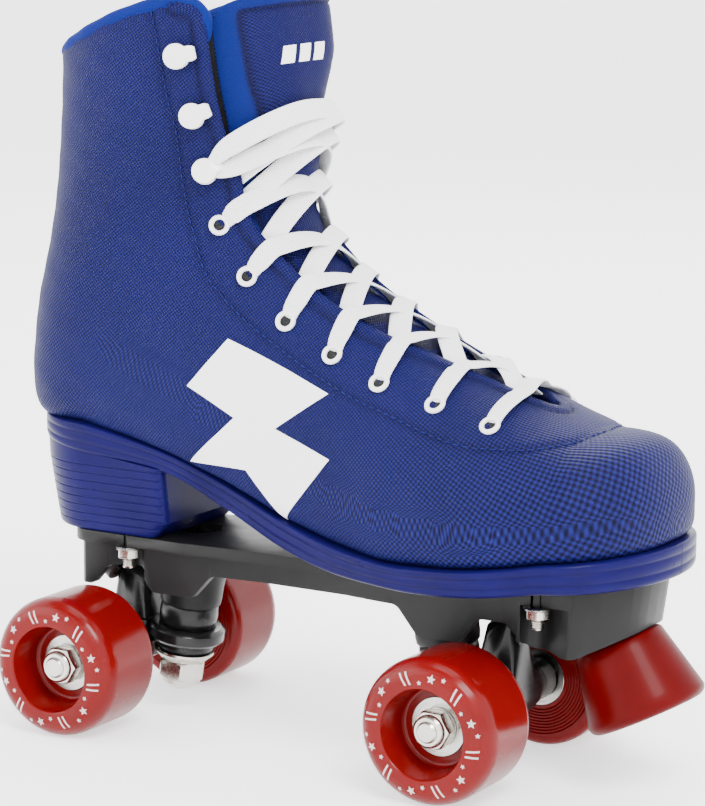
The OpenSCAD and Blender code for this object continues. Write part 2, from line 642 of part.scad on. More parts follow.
footbed_lift = wall_t + 2.5;
footbed_rings = [for (x = [-102, -95, -84, -66, -44, -20, 4, 28, 55, 80, 104, 120, 131, 136])
    let (w = x < -84 ? 19 * sqrt(1 - pow((x + 84) / 21, 2))
           : x > 104 ? 32 * sqrt(1 - pow((x - 104) / 36, 2)) : 19 + 13 * (x + 84) / 188,
         z = x < -84 ? 115.5
           : x < -44 ? 107 + 8.5 * (-44 - x) / 40
           : x < 55 ? 81.6 + 25.4 * pow((55 - x) / 99, 1.35)
           : x < 104 ? 81.6 + 3.4 * pow((x - 55) / 49, 1.5) : 85 + 6.5 * (x - 104) / 39)
    [x, w, z + footbed_lift]];

module footbed() color("dimgray") from_middle()
    loft([for (r = footbed_rings) slab_ring(r[0], r[1], 0, r[2] + footbed_t, r[2], 1)]);

// ---------------------------------------------------------------- lacing
// Places of the eyelets and hooks on the boot's surface: [row, share of the way round]
eyelet_places = [[1, 0.789], [1.64, 0.775], [2.53, 0.747], [3.7, 0.724], [5, 0.701], [6.27, 0.703],
                 [8.65, 0.713]];
hook_places = [[11.06, 0.687], [12.6, 0.651], [13.72, 0.62]];

function normal_at(u, a) = let (d = boot_point(u, a, -1) - boot_point(u, a)) d / norm(d);

module on_boot(u, a, lift = 0) {
    n = normal_at(u, a);
    translate(boot_point(u, a) + lift * n) rotate([0, acos(n[2]), atan2(n[1], n[0])]) children();
}

module each_side(places) from_middle() for (p = places, s = [-1, 1]) on_boot(p[0], s * p[1], 0.15) children();

module eyelets() color("white") each_side(eyelet_places) rotate_extrude($fn = 32)
    polygon(concat([[2.1, 0], [4, 0]], arc(3, 0.2, 1, 0.9, 0, 180, 5)));

module lace_hooks() color("white") each_side(hook_places) {
    cylinder(h = 1, r = 4.6);
    cylinder(h = 4, r = 1.9);
    translate([0, 0, 3.6]) cylinder(h = 1, r = 4.2);
}

lace_steps = 9;
// A strip of lace over the throat, from place p on the right to place q on the left
function strip_point(p, q, t, lift) =
    let (round = t * (2 - p[1] - q[1]), a = round < 1 - p[1] ? -(p[1] + round) : 2 - p[1] - round,
         u = p[0] + (q[0] - p[0]) * t)
    boot_point(u, a) + normal_at(u, a) * lift;
module strip(p, q, lift) loft([for (i = [0:lace_steps])
    let (t = 0.03 + 0.94 * i / lace_steps, c = strip_point(p, q, t, lift),
         d = strip_point(p, q, t + 0.01, lift) - c, n = strip_point(p, q, t, lift + 1) - c,
         side = cross(n, d), w = side / norm(side) * lace_w / 2, h = n * lace_t / 2)
    [c - w - h, c + w - h, c + w + h, c - w + h]]);

lace_rows = concat(eyelet_places, [hook_places[0]]);
module lace() color("white") from_middle() {
    strip(lace_rows[0], lace_rows[0], 2.2);
    for (i = [0:len(lace_rows) - 2]) {
        strip(lace_rows[i], lace_rows[i + 1], 2.2);
        strip(lace_rows[i + 1], lace_rows[i], 3.8);
    }
    strip(lace_rows[7], lace_rows[7], 5.4);
}

vamp();
quarters();
footbed();
tongue();
lace();
eyelets();
lace_hooks();
outsole();
heel_block();
plate();
plate_bolts();
plate_nuts();
toe_stop();
toe_stop_bolt();
toe_stop_nut();
for (end = ENDS) {
    hanger(end);
    axle(end);
    bearing_inner_rings(end);
    bearing_spacers(end);
    axle_washers(end);
    axle_nuts(end);
    kingpin(end);
    kingpin_nut(end);
    cup_washer(end);
    upper_cushion(end);
    lower_cushion(end);
    pivot_cup(end);
    for (side = SIDES) {
        wheel(end, side);
        bearing_outer_rings(end, side);
        bearing_balls(end, side);
    }
}
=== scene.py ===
import math

import bmesh
import bpy
import numpy as np
from mathutils import Matrix, Vector
from mathutils.bvhtree import BVHTree
from mathutils.kdtree import KDTree


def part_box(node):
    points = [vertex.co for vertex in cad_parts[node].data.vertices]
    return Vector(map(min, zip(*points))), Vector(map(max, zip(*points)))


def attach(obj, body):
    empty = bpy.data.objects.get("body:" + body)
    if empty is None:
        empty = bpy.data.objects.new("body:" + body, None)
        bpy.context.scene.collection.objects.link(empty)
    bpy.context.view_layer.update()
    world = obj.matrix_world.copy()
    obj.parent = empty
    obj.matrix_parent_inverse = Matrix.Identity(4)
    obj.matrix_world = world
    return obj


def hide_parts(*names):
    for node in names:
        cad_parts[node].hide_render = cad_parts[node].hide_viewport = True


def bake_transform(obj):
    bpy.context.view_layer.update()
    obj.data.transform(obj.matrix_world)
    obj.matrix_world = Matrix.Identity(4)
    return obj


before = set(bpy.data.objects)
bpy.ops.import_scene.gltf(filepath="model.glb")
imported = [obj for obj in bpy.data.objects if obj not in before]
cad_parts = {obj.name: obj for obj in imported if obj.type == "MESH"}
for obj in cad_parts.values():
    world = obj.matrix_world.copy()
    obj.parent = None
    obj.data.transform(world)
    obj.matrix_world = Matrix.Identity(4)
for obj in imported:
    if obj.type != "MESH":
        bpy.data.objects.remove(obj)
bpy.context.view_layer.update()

MM = 0.001
ENDS = ("front", "rear")
SIDES = ("left", "right")
BOTH = (-1, 1)


def centre(node):
    low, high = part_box(node)
    return (low + high) / 2


# Section drawings are written in millimetres from the middle of the wheelbase
MIDDLE_X = (centre("front_axle").x + centre("rear_axle").x) / 2 / MM
HEEL_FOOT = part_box("heel_block")[0].z / MM


# ------------------------------------------------------------------ mesh helpers
def add_object(name, data):
    obj = bpy.data.objects.new(name, data)
    bpy.context.scene.collection.objects.link(obj)
    return obj


def shade(mesh, sharp=None):
    """Smooth shading, with hard edges from sharp degrees on."""
    mesh.polygons.foreach_set("use_smooth", np.full(len(mesh.polygons), True))
    if sharp is not None:
        mesh.set_sharp_from_angle(angle=math.radians(sharp))


def mesh_object(name, points, faces, materials, face_slots=None, sharp=None):
    mesh = bpy.data.meshes.new(name)
    mesh.from_pydata([tuple(p) for p in points], [], [tuple(f) for f in faces])
    for m in materials:
        mesh.materials.append(m)
    if face_slots is not None:
        mesh.polygons.foreach_set("material_index", np.asarray(face_slots, np.int32))
    mesh.update()
    turned = bmesh.new()
    turned.from_mesh(mesh)
    bmesh.ops.recalc_face_normals(turned, faces=turned.faces)
    turned.to_mesh(mesh)
    turned.free()
    shade(mesh, sharp)
    return add_object(name, mesh)


def weld(obj, distance=1e-6):
    """Merges points that coincide, keeping UVs and face materials."""
    joined = bmesh.new()
    joined.from_mesh(obj.data)
    bmesh.ops.remove_doubles(joined, verts=joined.verts, dist=distance)
    bmesh.ops.dissolve_degenerate(joined, edges=joined.edges, dist=distance)
    bmesh.ops.recalc_face_normals(joined, faces=joined.faces)
    joined.to_mesh(obj.data)
    joined.free()
    return obj


def grid_faces(rows, columns, start=0, wrap=False):
    """Quads over a grid of points stored row by row."""
    last = columns if wrap else columns - 1
    return [(start + i * columns + j, start + i * columns + (j + 1) % columns,
             start + (i + 1) * columns + (j + 1) % columns, start + (i + 1) * columns + j)
            for i in range(rows - 1) for j in range(last)]


def tube_faces(rows, columns, start=0):
    """Faces of a closed tube of rings, with both ends shut."""
    first, last = start, start + (rows - 1) * columns
    return grid_faces(rows, columns, start, wrap=True) + [
        tuple(range(first, first + columns)), tuple(range(last, last + columns))]


def unit(vectors):
    return vectors / np.maximum(np.linalg.norm(vectors, axis=-1, keepdims=True), 1e-12)


def lengths_along(points):
    steps = np.linalg.norm(np.diff(points, axis=0), axis=1)
    return np.concatenate([[0], np.cumsum(steps)])


def relax(points, times):
    """Smooths a line of points in place, keeping its ends."""
    for _ in range(times):
        points[1:-1] = (points[:-2] + 2 * points[1:-1] + points[2:]) / 4


def axes_along(path, normals):
    """Sideways and upward directions of a strip that follows path and faces along normals."""
    tangent = unit(np.gradient(path, axis=0))
    side = unit(np.cross(normals, tangent))
    return side, np.cross(tangent, side)


def put_uv(obj, flat):
    layer = obj.data.uv_layers.new(name="weave")
    for loop in obj.data.loops:
        layer.data[loop.index].uv = flat[loop.vertex_index]


def tube_uv(rings):
    """UVs in metres, round and along a tube of rings."""
    ring = rings[len(rings) // 2]
    around = lengths_along(np.vstack([ring, ring[:1]]))[:-1]
    return np.stack(np.meshgrid(around, lengths_along(rings.mean(axis=1))), axis=-1).reshape(-1, 2)


def loft(name, rings, materials, **look):
    """A closed tube through rings of points."""
    rings = np.asarray(rings, float)
    obj = mesh_object(name, rings.reshape(-1, 3), tube_faces(*rings.shape[:2]), materials, **look)
    put_uv(obj, tube_uv(rings))
    return obj


def put_attribute(obj, name, values):
    attribute = obj.data.attributes.new(name, "FLOAT", "POINT")
    attribute.data.foreach_set("value", np.asarray(values, np.float32))


def revolve(name, profile, matrix, materials, steps=48, **look):
    """Turns a closed profile of (radius, height) in millimetres about matrix's Z axis."""
    turns = np.arange(steps) * 2 * math.pi / steps
    points, faces = [], []
    for r, h in profile:
        points += [matrix @ Vector((r * math.cos(t), r * math.sin(t), h)) for t in turns]
    count = len(profile)
    for i in range(count):
        k = (i + 1) % count
        faces += [(i * steps + j, i * steps + (j + 1) % steps, k * steps + (j + 1) % steps, k * steps + j)
                  for j in range(steps)]
    return weld(mesh_object(name, points, faces, materials, **look))


def modify(obj, kind, **settings):
    modifier = obj.modifiers.new(kind.title(), kind)
    for key, value in settings.items():
        setattr(modifier, key, value)
    return obj


def arc(cx, cy, radius, first, last, steps):
    turns = [math.radians(first + (last - first) * i / steps) for i in range(steps + 1)]
    return [(cx + radius * math.cos(t), cy + radius * math.sin(t)) for t in turns]


def axes_at(place, normal, towards):
    """A matrix with Z along normal and X as near to towards as it can be, scaled to millimetres."""
    z = Vector(normal).normalized()
    x = (Vector(towards) - z * z.dot(Vector(towards))).normalized()
    turn = Matrix((x, z.cross(x), z)).transposed().to_4x4()
    return Matrix.Translation(Vector(place)) @ turn @ Matrix.Scale(MM, 4)


# ------------------------------------------------------------------ material helpers
def tint(colour, share):
    return tuple(share * c for c in colour)


class Shader:
    """A material under construction: node(), link() and the maths that the patterns use."""

    def __init__(self, name, colour, roughness, **sockets):
        self.material = bpy.data.materials.new(name)
        self.material.use_nodes = True
        self.tree = self.material.node_tree
        self.main = self.tree.nodes["Principled BSDF"]
        self.main.inputs["Base Color"].default_value = (*colour, 1)
        self.main.inputs["Roughness"].default_value = roughness
        for key, value in sockets.items():
            self.main.inputs[key.replace("_", " ")].default_value = value

    def node(self, kind, **settings):
        made = self.tree.nodes.new(kind)
        for key, value in settings.items():
            setattr(made, key, value)
        return made

    def feed(self, socket, value):
        if isinstance(value, bpy.types.NodeSocket):
            self.tree.links.new(value, socket)
        else:
            socket.default_value = value

    def maths(self, operation, *values):
        made = self.node("ShaderNodeMath", operation=operation)
        for socket, value in zip(made.inputs, values):
            self.feed(socket, value)
        return made.outputs[0]

    def place(self):
        return self.node("ShaderNodeTexCoord").outputs["Object"]

    def noise(self, vector, scale, detail, roughness=0.5):
        made = self.node("ShaderNodeTexNoise")
        self.feed(made.inputs["Vector"], vector)
        made.inputs["Scale"].default_value = scale
        made.inputs["Detail"].default_value = detail
        made.inputs["Roughness"].default_value = roughness
        return made.outputs["Fac"]

    def ramp(self, factor, stops):
        made = self.node("ShaderNodeValToRGB")
        self.feed(made.inputs["Fac"], factor)
        elements = made.color_ramp.elements
        while len(elements) < len(stops):
            elements.new(0.5)
        for element, (place, colour) in zip(elements, stops):
            element.position = place
            element.color = (*colour, 1)
        return made.outputs["Color"]

    def mix(self, factor, a, b, blend_type="MIX"):
        made = self.node("ShaderNodeMix", data_type="RGBA", blend_type=blend_type)
        self.feed(made.inputs["Factor"], factor)
        for name, value in (("A", a), ("B", b)):
            socket = next(s for s in made.inputs if s.name == name and s.type == "RGBA")
            self.feed(socket, (*value, 1) if isinstance(value, tuple) else value)
        return next(s for s in made.outputs if s.type == "RGBA")

    def attribute(self, name):
        return self.node("ShaderNodeAttribute", attribute_name=name).outputs["Fac"]

    def bump(self, height, distance, strength):
        made = self.node("ShaderNodeBump")
        made.inputs["Distance"].default_value = distance
        made.inputs["Strength"].default_value = strength
        self.feed(made.inputs["Height"], height)
        return made.outputs["Normal"]

    def done(self, colour=None, roughness=None, normal=None):
        for socket, value in (("Base Color", colour), ("Roughness", roughness), ("Normal", normal)):
            if value is not None:
                self.feed(self.main.inputs[socket], value)
        return self.material

    def lattice(self, pitch, jitter=1.44):
        """Height of a staggered knit with that pitch in metres, from 0 in its holes to 1 on its yarns."""
        flat = self.node("ShaderNodeUVMap", uv_map="weave").outputs["UV"]
        parts = self.node("ShaderNodeSeparateXYZ")
        self.feed(parts.inputs[0], flat)
        wobble = self.maths("MULTIPLY", self.maths("SUBTRACT", self.noise(flat, 260, 1), 0.5), jitter)
        waves = []
        for axis in "XY":
            turned = self.maths("MULTIPLY", parts.outputs[axis], 2 * math.pi / pitch)
            waves.append(self.maths("COSINE", self.maths("ADD", turned, wobble)))
        halved = self.maths("MULTIPLY", self.maths("MULTIPLY", waves[0], waves[1]), 0.5)
        return self.maths("ADD", halved, 0.5), flat


def knit(name, dark, mid, light, pitch, plush, spark):
    """Woven mesh cloth with darker holes, painted glints on its yarns and painted shade along stitched
    grooves, and a pile where the plush attribute is 1.
    """
    s = Shader(name, mid, 0.5, Sheen_Weight=0.008, Sheen_Roughness=0.35, Specular_IOR_Level=0.07)
    s.main.inputs["Sheen Tint"].default_value = (0.2, 0.3, 1, 1)
    height, flat = s.lattice(pitch)
    cloth = s.ramp(height, [(0.08, dark), (0.42, mid), (0.92, light)])
    # Painted glints: a few bright specks on the yarn tops stand in for highlights on the yarn.
    glint = s.ramp(s.noise(flat, 1500, 1), [(0.66, (0, 0, 0)), (0.8, (spark, spark, spark))])
    painted_glint_colour, thread_shadow = (0.03, 0.045, 0.26), (0.0015, 0.0015, 0.008)
    cloth = s.mix(s.maths("MULTIPLY", glint, height), cloth, painted_glint_colour)
    shade = s.ramp(s.noise(s.place(), 22, 3), [(0.3, (0.84, 0.84, 0.86)), (0.7, (1.08, 1.08, 1.1))])
    cloth = s.mix(1.0, cloth, shade, "MULTIPLY")
    border = s.attribute("plush")
    pile = s.noise(s.place(), 2600, 3, 0.7)
    soft = s.ramp(pile, [(0.3, tint(plush, 0.7)), (0.7, tint(plush, 1.2))])
    cloth = s.mix(border, cloth, soft)
    total = s.maths("ADD", s.maths("MULTIPLY", height, s.maths("SUBTRACT", 1.0, border)),
                    s.maths("MULTIPLY", pile, border))
    # Painted shade: the cloth darkens towards thread_shadow along stitched grooves and folds, where that
    # attribute is set.
    cloth = s.mix(s.maths("MULTIPLY", s.attribute("seam_shade"), 0.86), cloth, thread_shadow)
    return s.done(cloth, normal=s.bump(total, 0.00045, 0.75))


def plush_cloth(name, colour):
    s = Shader(name, colour, 0.8, Sheen_Weight=0.08, Sheen_Roughness=0.35, Specular_IOR_Level=0.1)
    s.main.inputs["Sheen Tint"].default_value = (0.1, 0.25, 1, 1)
    pile = s.noise(s.place(), 2400, 3, 0.7)
    tone = s.maths("MULTIPLY", s.noise(s.place(), 60, 2), 0.9)
    colour_map = s.ramp(pile, [(0.25, tint(colour, 0.62)), (0.75, tint(colour, 1.25))])
    colour_map = s.mix(tone, colour_map, tint(colour, 1.2))
    return s.done(colour_map, normal=s.bump(pile, 0.0004, 0.6))


def lining_cloth(name):
    s = Shader(name, (0.008, 0.008, 0.009), 0.85, Sheen_Weight=0.02, Sheen_Roughness=0.5,
               Specular_IOR_Level=0.15)
    pile = s.noise(s.place(), 1800, 3, 0.7)
    return s.done(s.ramp(pile, [(0.3, (0.004, 0.004, 0.005)), (0.75, (0.013, 0.013, 0.015))]),
                  normal=s.bump(pile, 0.0004, 0.7))


def lace_cloth(name):
    """White braid: small lozenges across the strip and two fine cords along it."""
    s = Shader(name, (0.8, 0.8, 0.81), 0.75, Sheen_Weight=0.2, Sheen_Roughness=0.4)
    height, flat = s.lattice(0.0011, 0.6)
    colour = s.ramp(height, [(0.05, (0.52, 0.52, 0.55)), (0.4, (0.78, 0.78, 0.8)), (0.9, (0.88, 0.88, 0.89))])
    fibre = s.noise(flat, 2600, 2)
    return s.done(s.mix(s.maths("MULTIPLY", fibre, 0.12), colour, (0.6, 0.6, 0.63)),
                  normal=s.bump(s.maths("ADD", height, s.maths("MULTIPLY", fibre, 0.3)), 0.0003, 0.6))


def moulded(name, colour, roughness, grain=0.0, speck=0.12, coat=0.0, wear=0.0, shine=0.5):
    """Moulded plastic, rubber or paint: faint mottling, uneven gloss and fine grain."""
    s = Shader(name, colour, roughness, Coat_Weight=coat, Coat_Roughness=0.12, Specular_IOR_Level=shine)
    here = s.place()
    tone = s.ramp(s.noise(here, 45, 4), [(0.3, tint(colour, 1 - speck)), (0.7, tint(colour, 1 + speck))])
    if wear:
        edge = s.node("ShaderNodeNewGeometry").outputs["Pointiness"]
        worn = s.ramp(edge, [(0.51, (0, 0, 0)), (0.56, (wear, wear, wear))])
        tone = s.mix(worn, tone, tuple(c * 1.8 + 0.012 for c in colour))
    uneven = 0.14
    gloss = s.maths("MULTIPLY_ADD", s.noise(here, 160, 3), uneven, roughness - uneven / 2)
    fine = s.noise(here, 2200, 2)
    return s.done(tone, gloss, s.bump(fine, 0.00008, grain) if grain else None)


def metal(name, colour, roughness, brushed=0.25):
    """Plated steel with fine scratches and a slightly uneven shine."""
    s = Shader(name, colour, roughness, Metallic=1.0)
    here = s.place()
    scratch = s.noise(here, 900, 3, 0.7)
    gloss = s.maths("MULTIPLY_ADD", scratch, brushed, roughness - brushed / 2)
    tone = s.ramp(s.noise(here, 120, 3), [(0.3, tint(colour, 0.82)), (0.7, colour)])
    return s.done(tone, gloss, s.bump(scratch, 0.00003, 0.4))


# spark sets how bright the painted glints on the yarns are.
BLUE_KNIT = knit("blue_mesh", (0.0015, 0.0012, 0.011), (0.0036, 0.0034, 0.038), (0.0075, 0.01, 0.095), 0.0017,
                 plush=(0.004, 0.014, 0.15), spark=0.35)
TONGUE_KNIT = knit("tongue_mesh", (0.0015, 0.0012, 0.011), (0.0034, 0.003, 0.035), (0.007, 0.009, 0.085),
                   0.0012, plush=(0.0022, 0.008, 0.1), spark=0.25)
PLUSH = plush_cloth("blue_plush", (0.0022, 0.008, 0.105))
THREAD = moulded("blue_thread", (0.008, 0.012, 0.1), 0.6, grain=0.5, shine=0.1)
LINING = lining_cloth("black_lining")
LACE = lace_cloth("white_braid")
ENAMEL = moulded("white_enamel", (0.78, 0.78, 0.77), 0.25, speck=0.02, coat=0.3)
# Eyelet holes: black lining seen through them, darkened further as painted shade.
HOLE_SHADE = moulded("eyelet_hole_shade", (0.003, 0.003, 0.004), 0.9)
PRINT = moulded("white_print", (0.82, 0.82, 0.83), 0.5, grain=0.6, speck=0.03)
SOLE = moulded("sole_blue", (0.0045, 0.0027, 0.048), 0.3, speck=0.2, coat=0.03, shine=0.05)
NYLON = moulded("plate_nylon", (0.0055, 0.0055, 0.0058), 0.4, grain=0.5, speck=0.2, wear=0.3, shine=0.16)
GLOSS_BLACK = moulded("truck_black", (0.004, 0.004, 0.0045), 0.24, grain=0.2, coat=0.12, wear=0.3, shine=0.25)
CUSHION = moulded("cushion_black", (0.005, 0.005, 0.0055), 0.3, coat=0.1, shine=0.25)
CUP = moulded("cup_nylon", (0.01, 0.01, 0.01), 0.5, grain=0.3, shine=0.2)
URETHANE = moulded("wheel_red", (0.115, 0.0007, 0.0008), 0.24, speck=0.1, coat=0.12, shine=0.12)
STOP_RED = moulded("toe_stop_red", (0.07, 0.0003, 0.0005), 0.36, speck=0.12, coat=0.03, grain=0.2, shine=0.06)
ZINC = metal("zinc_plate", (0.62, 0.60, 0.55), 0.24)
STEEL = metal("bearing_steel", (0.5, 0.49, 0.46), 0.22)
WHEEL_PRINT = moulded("wheel_print", (0.5, 0.42, 0.42), 0.4, speck=0.03)


# ------------------------------------------------------------------ the boot's surface
# [bottom x, bottom z, top x, top z, half width, shift in Y, height of the widest point, squareness
# below it, squareness above it], from the toe cap under the foot, round the heel and up to the collar
ROWS = [
    [118, 88, 118, 131, 45.5, 0, 0.33, 7, 2.2],
    [90, 83.5, 90, 142.5, 49, -1, 0.29, 7.5, 2],
    [55, 81.5, 58, 156.5, 45.8, -2, 0.27, 7.5, 2],
    [30, 84.5, 39, 168, 41.2, -1.5, 0.27, 7.2, 2],
    [6, 90, 24.5, 179.5, 37.7, -1, 0.27, 7, 2],
    [-22, 99.5, 14, 190.5, 35.5, 0, 0.28, 6.6, 2],
    [-55, 109, 7, 202.5, 35, 0, 0.3, 6.2, 2],
    [-88, 114.5, 3, 212, 34.5, 0, 0.33, 5.2, 2],
    [-109, 115, 1.5, 218.5, 34.2, 0, 0.36, 4, 2],
    [-120, 119.5, 0.8, 223.5, 34.2, 0, 0.38, 2.9, 2],
    [-124, 133, 0.2, 229, 34.5, 0, 0.4, 2.4, 2],
    [-123, 156, -0.6, 236, 35.3, 0, 0.42, 2.15, 2.05],
    [-117.6, 182, -1.8, 244, 36.5, 0, 0.44, 2, 2.1],
    [-112.5, 212, -2.7, 256, 38, 0, 0.46, 2, 2.1],
    [-110.2, 242, -4.3, 269, 39, 0, 0.46, 2, 2.1],
    [-109.7, 256, -5, 277, 39, 0, 0.46, 2, 2.1]]
COLLAR = len(ROWS) - 1
THROAT = [0.995, 0.96, 0.91, 0.855, 0.82, 0.795, 0.778, 0.77, 0.768, 0.766, 0.764, 0.748, 0.724, 0.7, 0.688,
          0.68]
THROAT_START = 0.6
TOE_LEN, TOE_MID_Z, TOE_RISE, TOE_SLOPE = 31, 98, 33, 0.03
COLLAR_RISE, RISE_FROM = 9.5, 11.5
WALL = 3.5


def spline(table, u):
    """Catmull-Rom values at u through a list of numbers or rows."""
    t = np.asarray(table, float)
    flat = t.ndim == 1
    t = t[:, None] if flat else t
    last = len(t) - 1
    u = np.asarray(u, float)
    i = np.clip(np.floor(u).astype(int), 0, last - 1)
    f = (u - i)[..., None]
    t = np.vstack([2 * t[0] - t[1], t, 2 * t[-1] - t[-2]])
    p0, p1, p2, p3 = t[i], t[i + 1], t[i + 2], t[i + 3]
    out = 0.5 * (2 * p1 + (p2 - p0) * f + (2 * p0 - 5 * p1 + 4 * p2 - p3) * f ** 2
                 + (3 * p1 - p0 - 3 * p2 + p3) * f ** 3)
    return out[..., 0] if flat else out


def toe_rows(t):
    """Rows ahead of the first one, where the toe cap closes on an ellipse; t runs from 0 to 1."""
    first = ROWS[0]
    top = np.sqrt(1 - t ** 3.6)
    low = np.sqrt(1 - t ** 6)
    return np.stack([first[0] + TOE_LEN * t, TOE_MID_Z - (TOE_MID_Z - first[1] - 3 * t) * low,
                     first[0] + TOE_LEN * t, TOE_MID_Z + (TOE_RISE - TOE_SLOPE * TOE_LEN * t) * top,
                     np.maximum(first[4] * np.sqrt(1 - t ** 1.9), 0.01), 3 * t, 0.33 + 0.12 * t,
                     7 - 3.4 * t * t, np.full_like(t, 2.2)], axis=-1)


def boot(u, a, inset=0.0):
    """Points of the boot in metres: u along the rows, a round the section from -1 to 1."""
    u, a, inset = np.broadcast_arrays(*(np.asarray(x, float) for x in (u, a, inset)))
    r = np.where((u < 0)[..., None], toe_rows(np.clip(-u, 0, 1)), spline(ROWS, np.maximum(u, 0)))
    dx, dz = r[..., 2] - r[..., 0], r[..., 3] - r[..., 1]
    full = np.sqrt(dx * dx + dz * dz)
    low = np.pi * np.minimum(abs(a), 0.5)
    high = np.pi * np.maximum(abs(a) - 0.5, 0)
    w = np.maximum(r[..., 4] - inset, 0.2)
    below = abs(a) <= 0.5
    cos_high = np.maximum(np.cos(high), 0)
    s = np.where(below, r[..., 6] * (1 - np.maximum(np.cos(low), 0) ** (2 / r[..., 7])),
                 r[..., 6] + (1 - r[..., 6]) * np.sin(high) ** (2 / r[..., 8]))
    y = np.where(below, w * np.sin(low) ** (2 / r[..., 7]), w * cos_high ** (2 / r[..., 8]))
    q = inset + s * np.maximum(full - 2 * inset, 0.5)
    climb = np.maximum((u - RISE_FROM) / (COLLAR - RISE_FROM), 0) ** 2
    rise = COLLAR_RISE * climb * np.sin(np.pi * s ** 1.35)
    x = r[..., 0] + dx / full * q + np.where(u < 0, u * inset, 0)
    z = r[..., 1] + dz / full * q + rise
    return np.stack([(x + MIDDLE_X) * MM, (np.sign(a) * y + r[..., 5]) * MM, z * MM], axis=-1)


def outward(u, a):
    return unit(boot(u, a, -1.0) - boot(u, a))


CORNER_FROM, CORNER_DROP = 14.35, 0.055


def throat_edge(u):
    """Share of the way round at which the throat opens; 1 where the section is closed."""
    u = np.asarray(u, float)
    opened = np.clip((u - THROAT_START) / 0.35, 0, 1)
    edge = 1 - (1 - spline(THROAT, np.clip(u, 0, COLLAR))) * np.sqrt(opened * (2 - opened))
    turn = np.clip((u - CORNER_FROM) / (COLLAR - CORNER_FROM), 0, 1)
    return edge - CORNER_DROP * (1 - np.sqrt(1 - turn ** 2))


def grid_normals(grid):
    return unit(np.cross(*np.gradient(grid, axis=(0, 1))))


def distances(points, targets):
    """Distance in millimetres from each point to the nearest target."""
    tree = KDTree(len(targets))
    for k, t in enumerate(targets):
        tree.insert(t, k)
    tree.balance()
    return np.array([tree.find(p)[2] for p in points]) / MM


def bell(distance, width):
    return np.exp(-(distance / width) ** 2)


# ------------------------------------------------------------------ upper
# The eyestay's stitched edge: [row, share of the way round]
EYESTAY = [(-0.11, 0.999), (-0.06, 0.939), (0.07, 0.851), (0.4, 0.77), (0.82, 0.731), (1.23, 0.705),
           (1.65, 0.7), (2.18, 0.698), (2.97, 0.68), (3.55, 0.672), (5.3, 0.65), (6.32, 0.649),
           (9.12, 0.669), (12.08, 0.624), (13.26, 0.589), (14.95, 0.56)]
U_STEPS, V_STEPS = 230, 84
HEM = 5.5
BACK_STRIP = 8.5


def upper_rows():
    toe = -0.9999 * np.cos(np.linspace(0, np.pi / 2, 40))
    return np.concatenate([toe[:-1], np.linspace(0, 1.4, 40)[:-1], np.linspace(1.4, COLLAR, U_STEPS - 78)])


def eyestay_line(count):
    t = np.linspace(0, len(EYESTAY) - 1, count)
    line = spline(EYESTAY, t)
    return line[:, 0], np.minimum(line[:, 1], 1)


def half_grid(side, us, inset):
    """Points of one half of the upper, from the bottom's middle to the throat's edge."""
    edge = throat_edge(us)[:, None]
    share = np.linspace(0, 1, V_STEPS)[None, :]
    return boot(us[:, None], side * np.maximum(edge * share, 1e-6), inset), edge * share


def flat_pattern(us):
    """Lays a coarse copy of the upper out flat and returns each half's UVs in metres, as a cutter would."""
    coarse_u = np.append(us[::5], us[-1])
    columns = 22
    share = np.linspace(0, 1, columns)[None, :]
    halves = [boot(coarse_u[:, None], side * np.maximum(throat_edge(coarse_u)[:, None] * share, 1e-6))
              for side in BOTH]
    count = len(coarse_u) * columns
    points = np.concatenate([h.reshape(-1, 3) for h in halves])
    shut = int(np.sum(coarse_u <= THROAT_START + 1e-9))
    twin = {count + i * columns + columns - 1: i * columns + columns - 1 for i in range(shut)}
    faces = grid_faces(len(coarse_u), columns) + [
        tuple(twin.get(v, v) for v in f)[::-1] for f in grid_faces(len(coarse_u), columns, count)]
    mesh = bpy.data.meshes.new("pattern")
    mesh.from_pydata([tuple(p) for p in points], [], faces)
    sheet = add_object("pattern", mesh)
    mesh.uv_layers.new(name="weave")
    bpy.context.view_layer.objects.active = sheet
    sheet.select_set(True)
    bpy.ops.object.mode_set(mode="EDIT")
    bpy.ops.mesh.select_all(action="SELECT")
    bpy.ops.uv.unwrap(method="ANGLE_BASED", margin=0)
    bpy.ops.object.mode_set(mode="OBJECT")
    uv = np.zeros((2 * count, 2))
    for loop in mesh.loops:
        uv[loop.vertex_index] = mesh.uv_layers["weave"].data[loop.index].uv
    for far, near in twin.items():
        uv[far] = uv[near]
    ends = np.array([e.vertices[:] for e in mesh.edges])
    real = np.linalg.norm(points[ends[:, 0]] - points[ends[:, 1]], axis=1).sum()
    drawn = np.linalg.norm(uv[ends[:, 0]] - uv[ends[:, 1]], axis=1).sum()
    bpy.data.objects.remove(sheet)
    uv *= real / drawn
    return coarse_u, [uv[:count].reshape(-1, columns, 2), uv[count:].reshape(-1, columns, 2)]


def refine(coarse_u, pattern, us):
    """The coarse pattern's UVs at every point of a half grid."""
    rows = np.interp(us, coarse_u, np.arange(len(coarse_u)))
    columns = np.linspace(0, pattern.shape[1] - 1, V_STEPS)
    i = np.minimum(rows.astype(int), len(coarse_u) - 2)
    j = np.minimum(columns.astype(int), pattern.shape[1] - 2)
    f, g = (rows - i)[:, None, None], (columns - j)[None, :, None]
    corner = lambda p, q: pattern[np.ix_(i + p, j + q)]
    return (corner(0, 0) * (1 - f) * (1 - g) + corner(1, 0) * f * (1 - g)
            + corner(0, 1) * (1 - f) * g + corner(1, 1) * f * g)


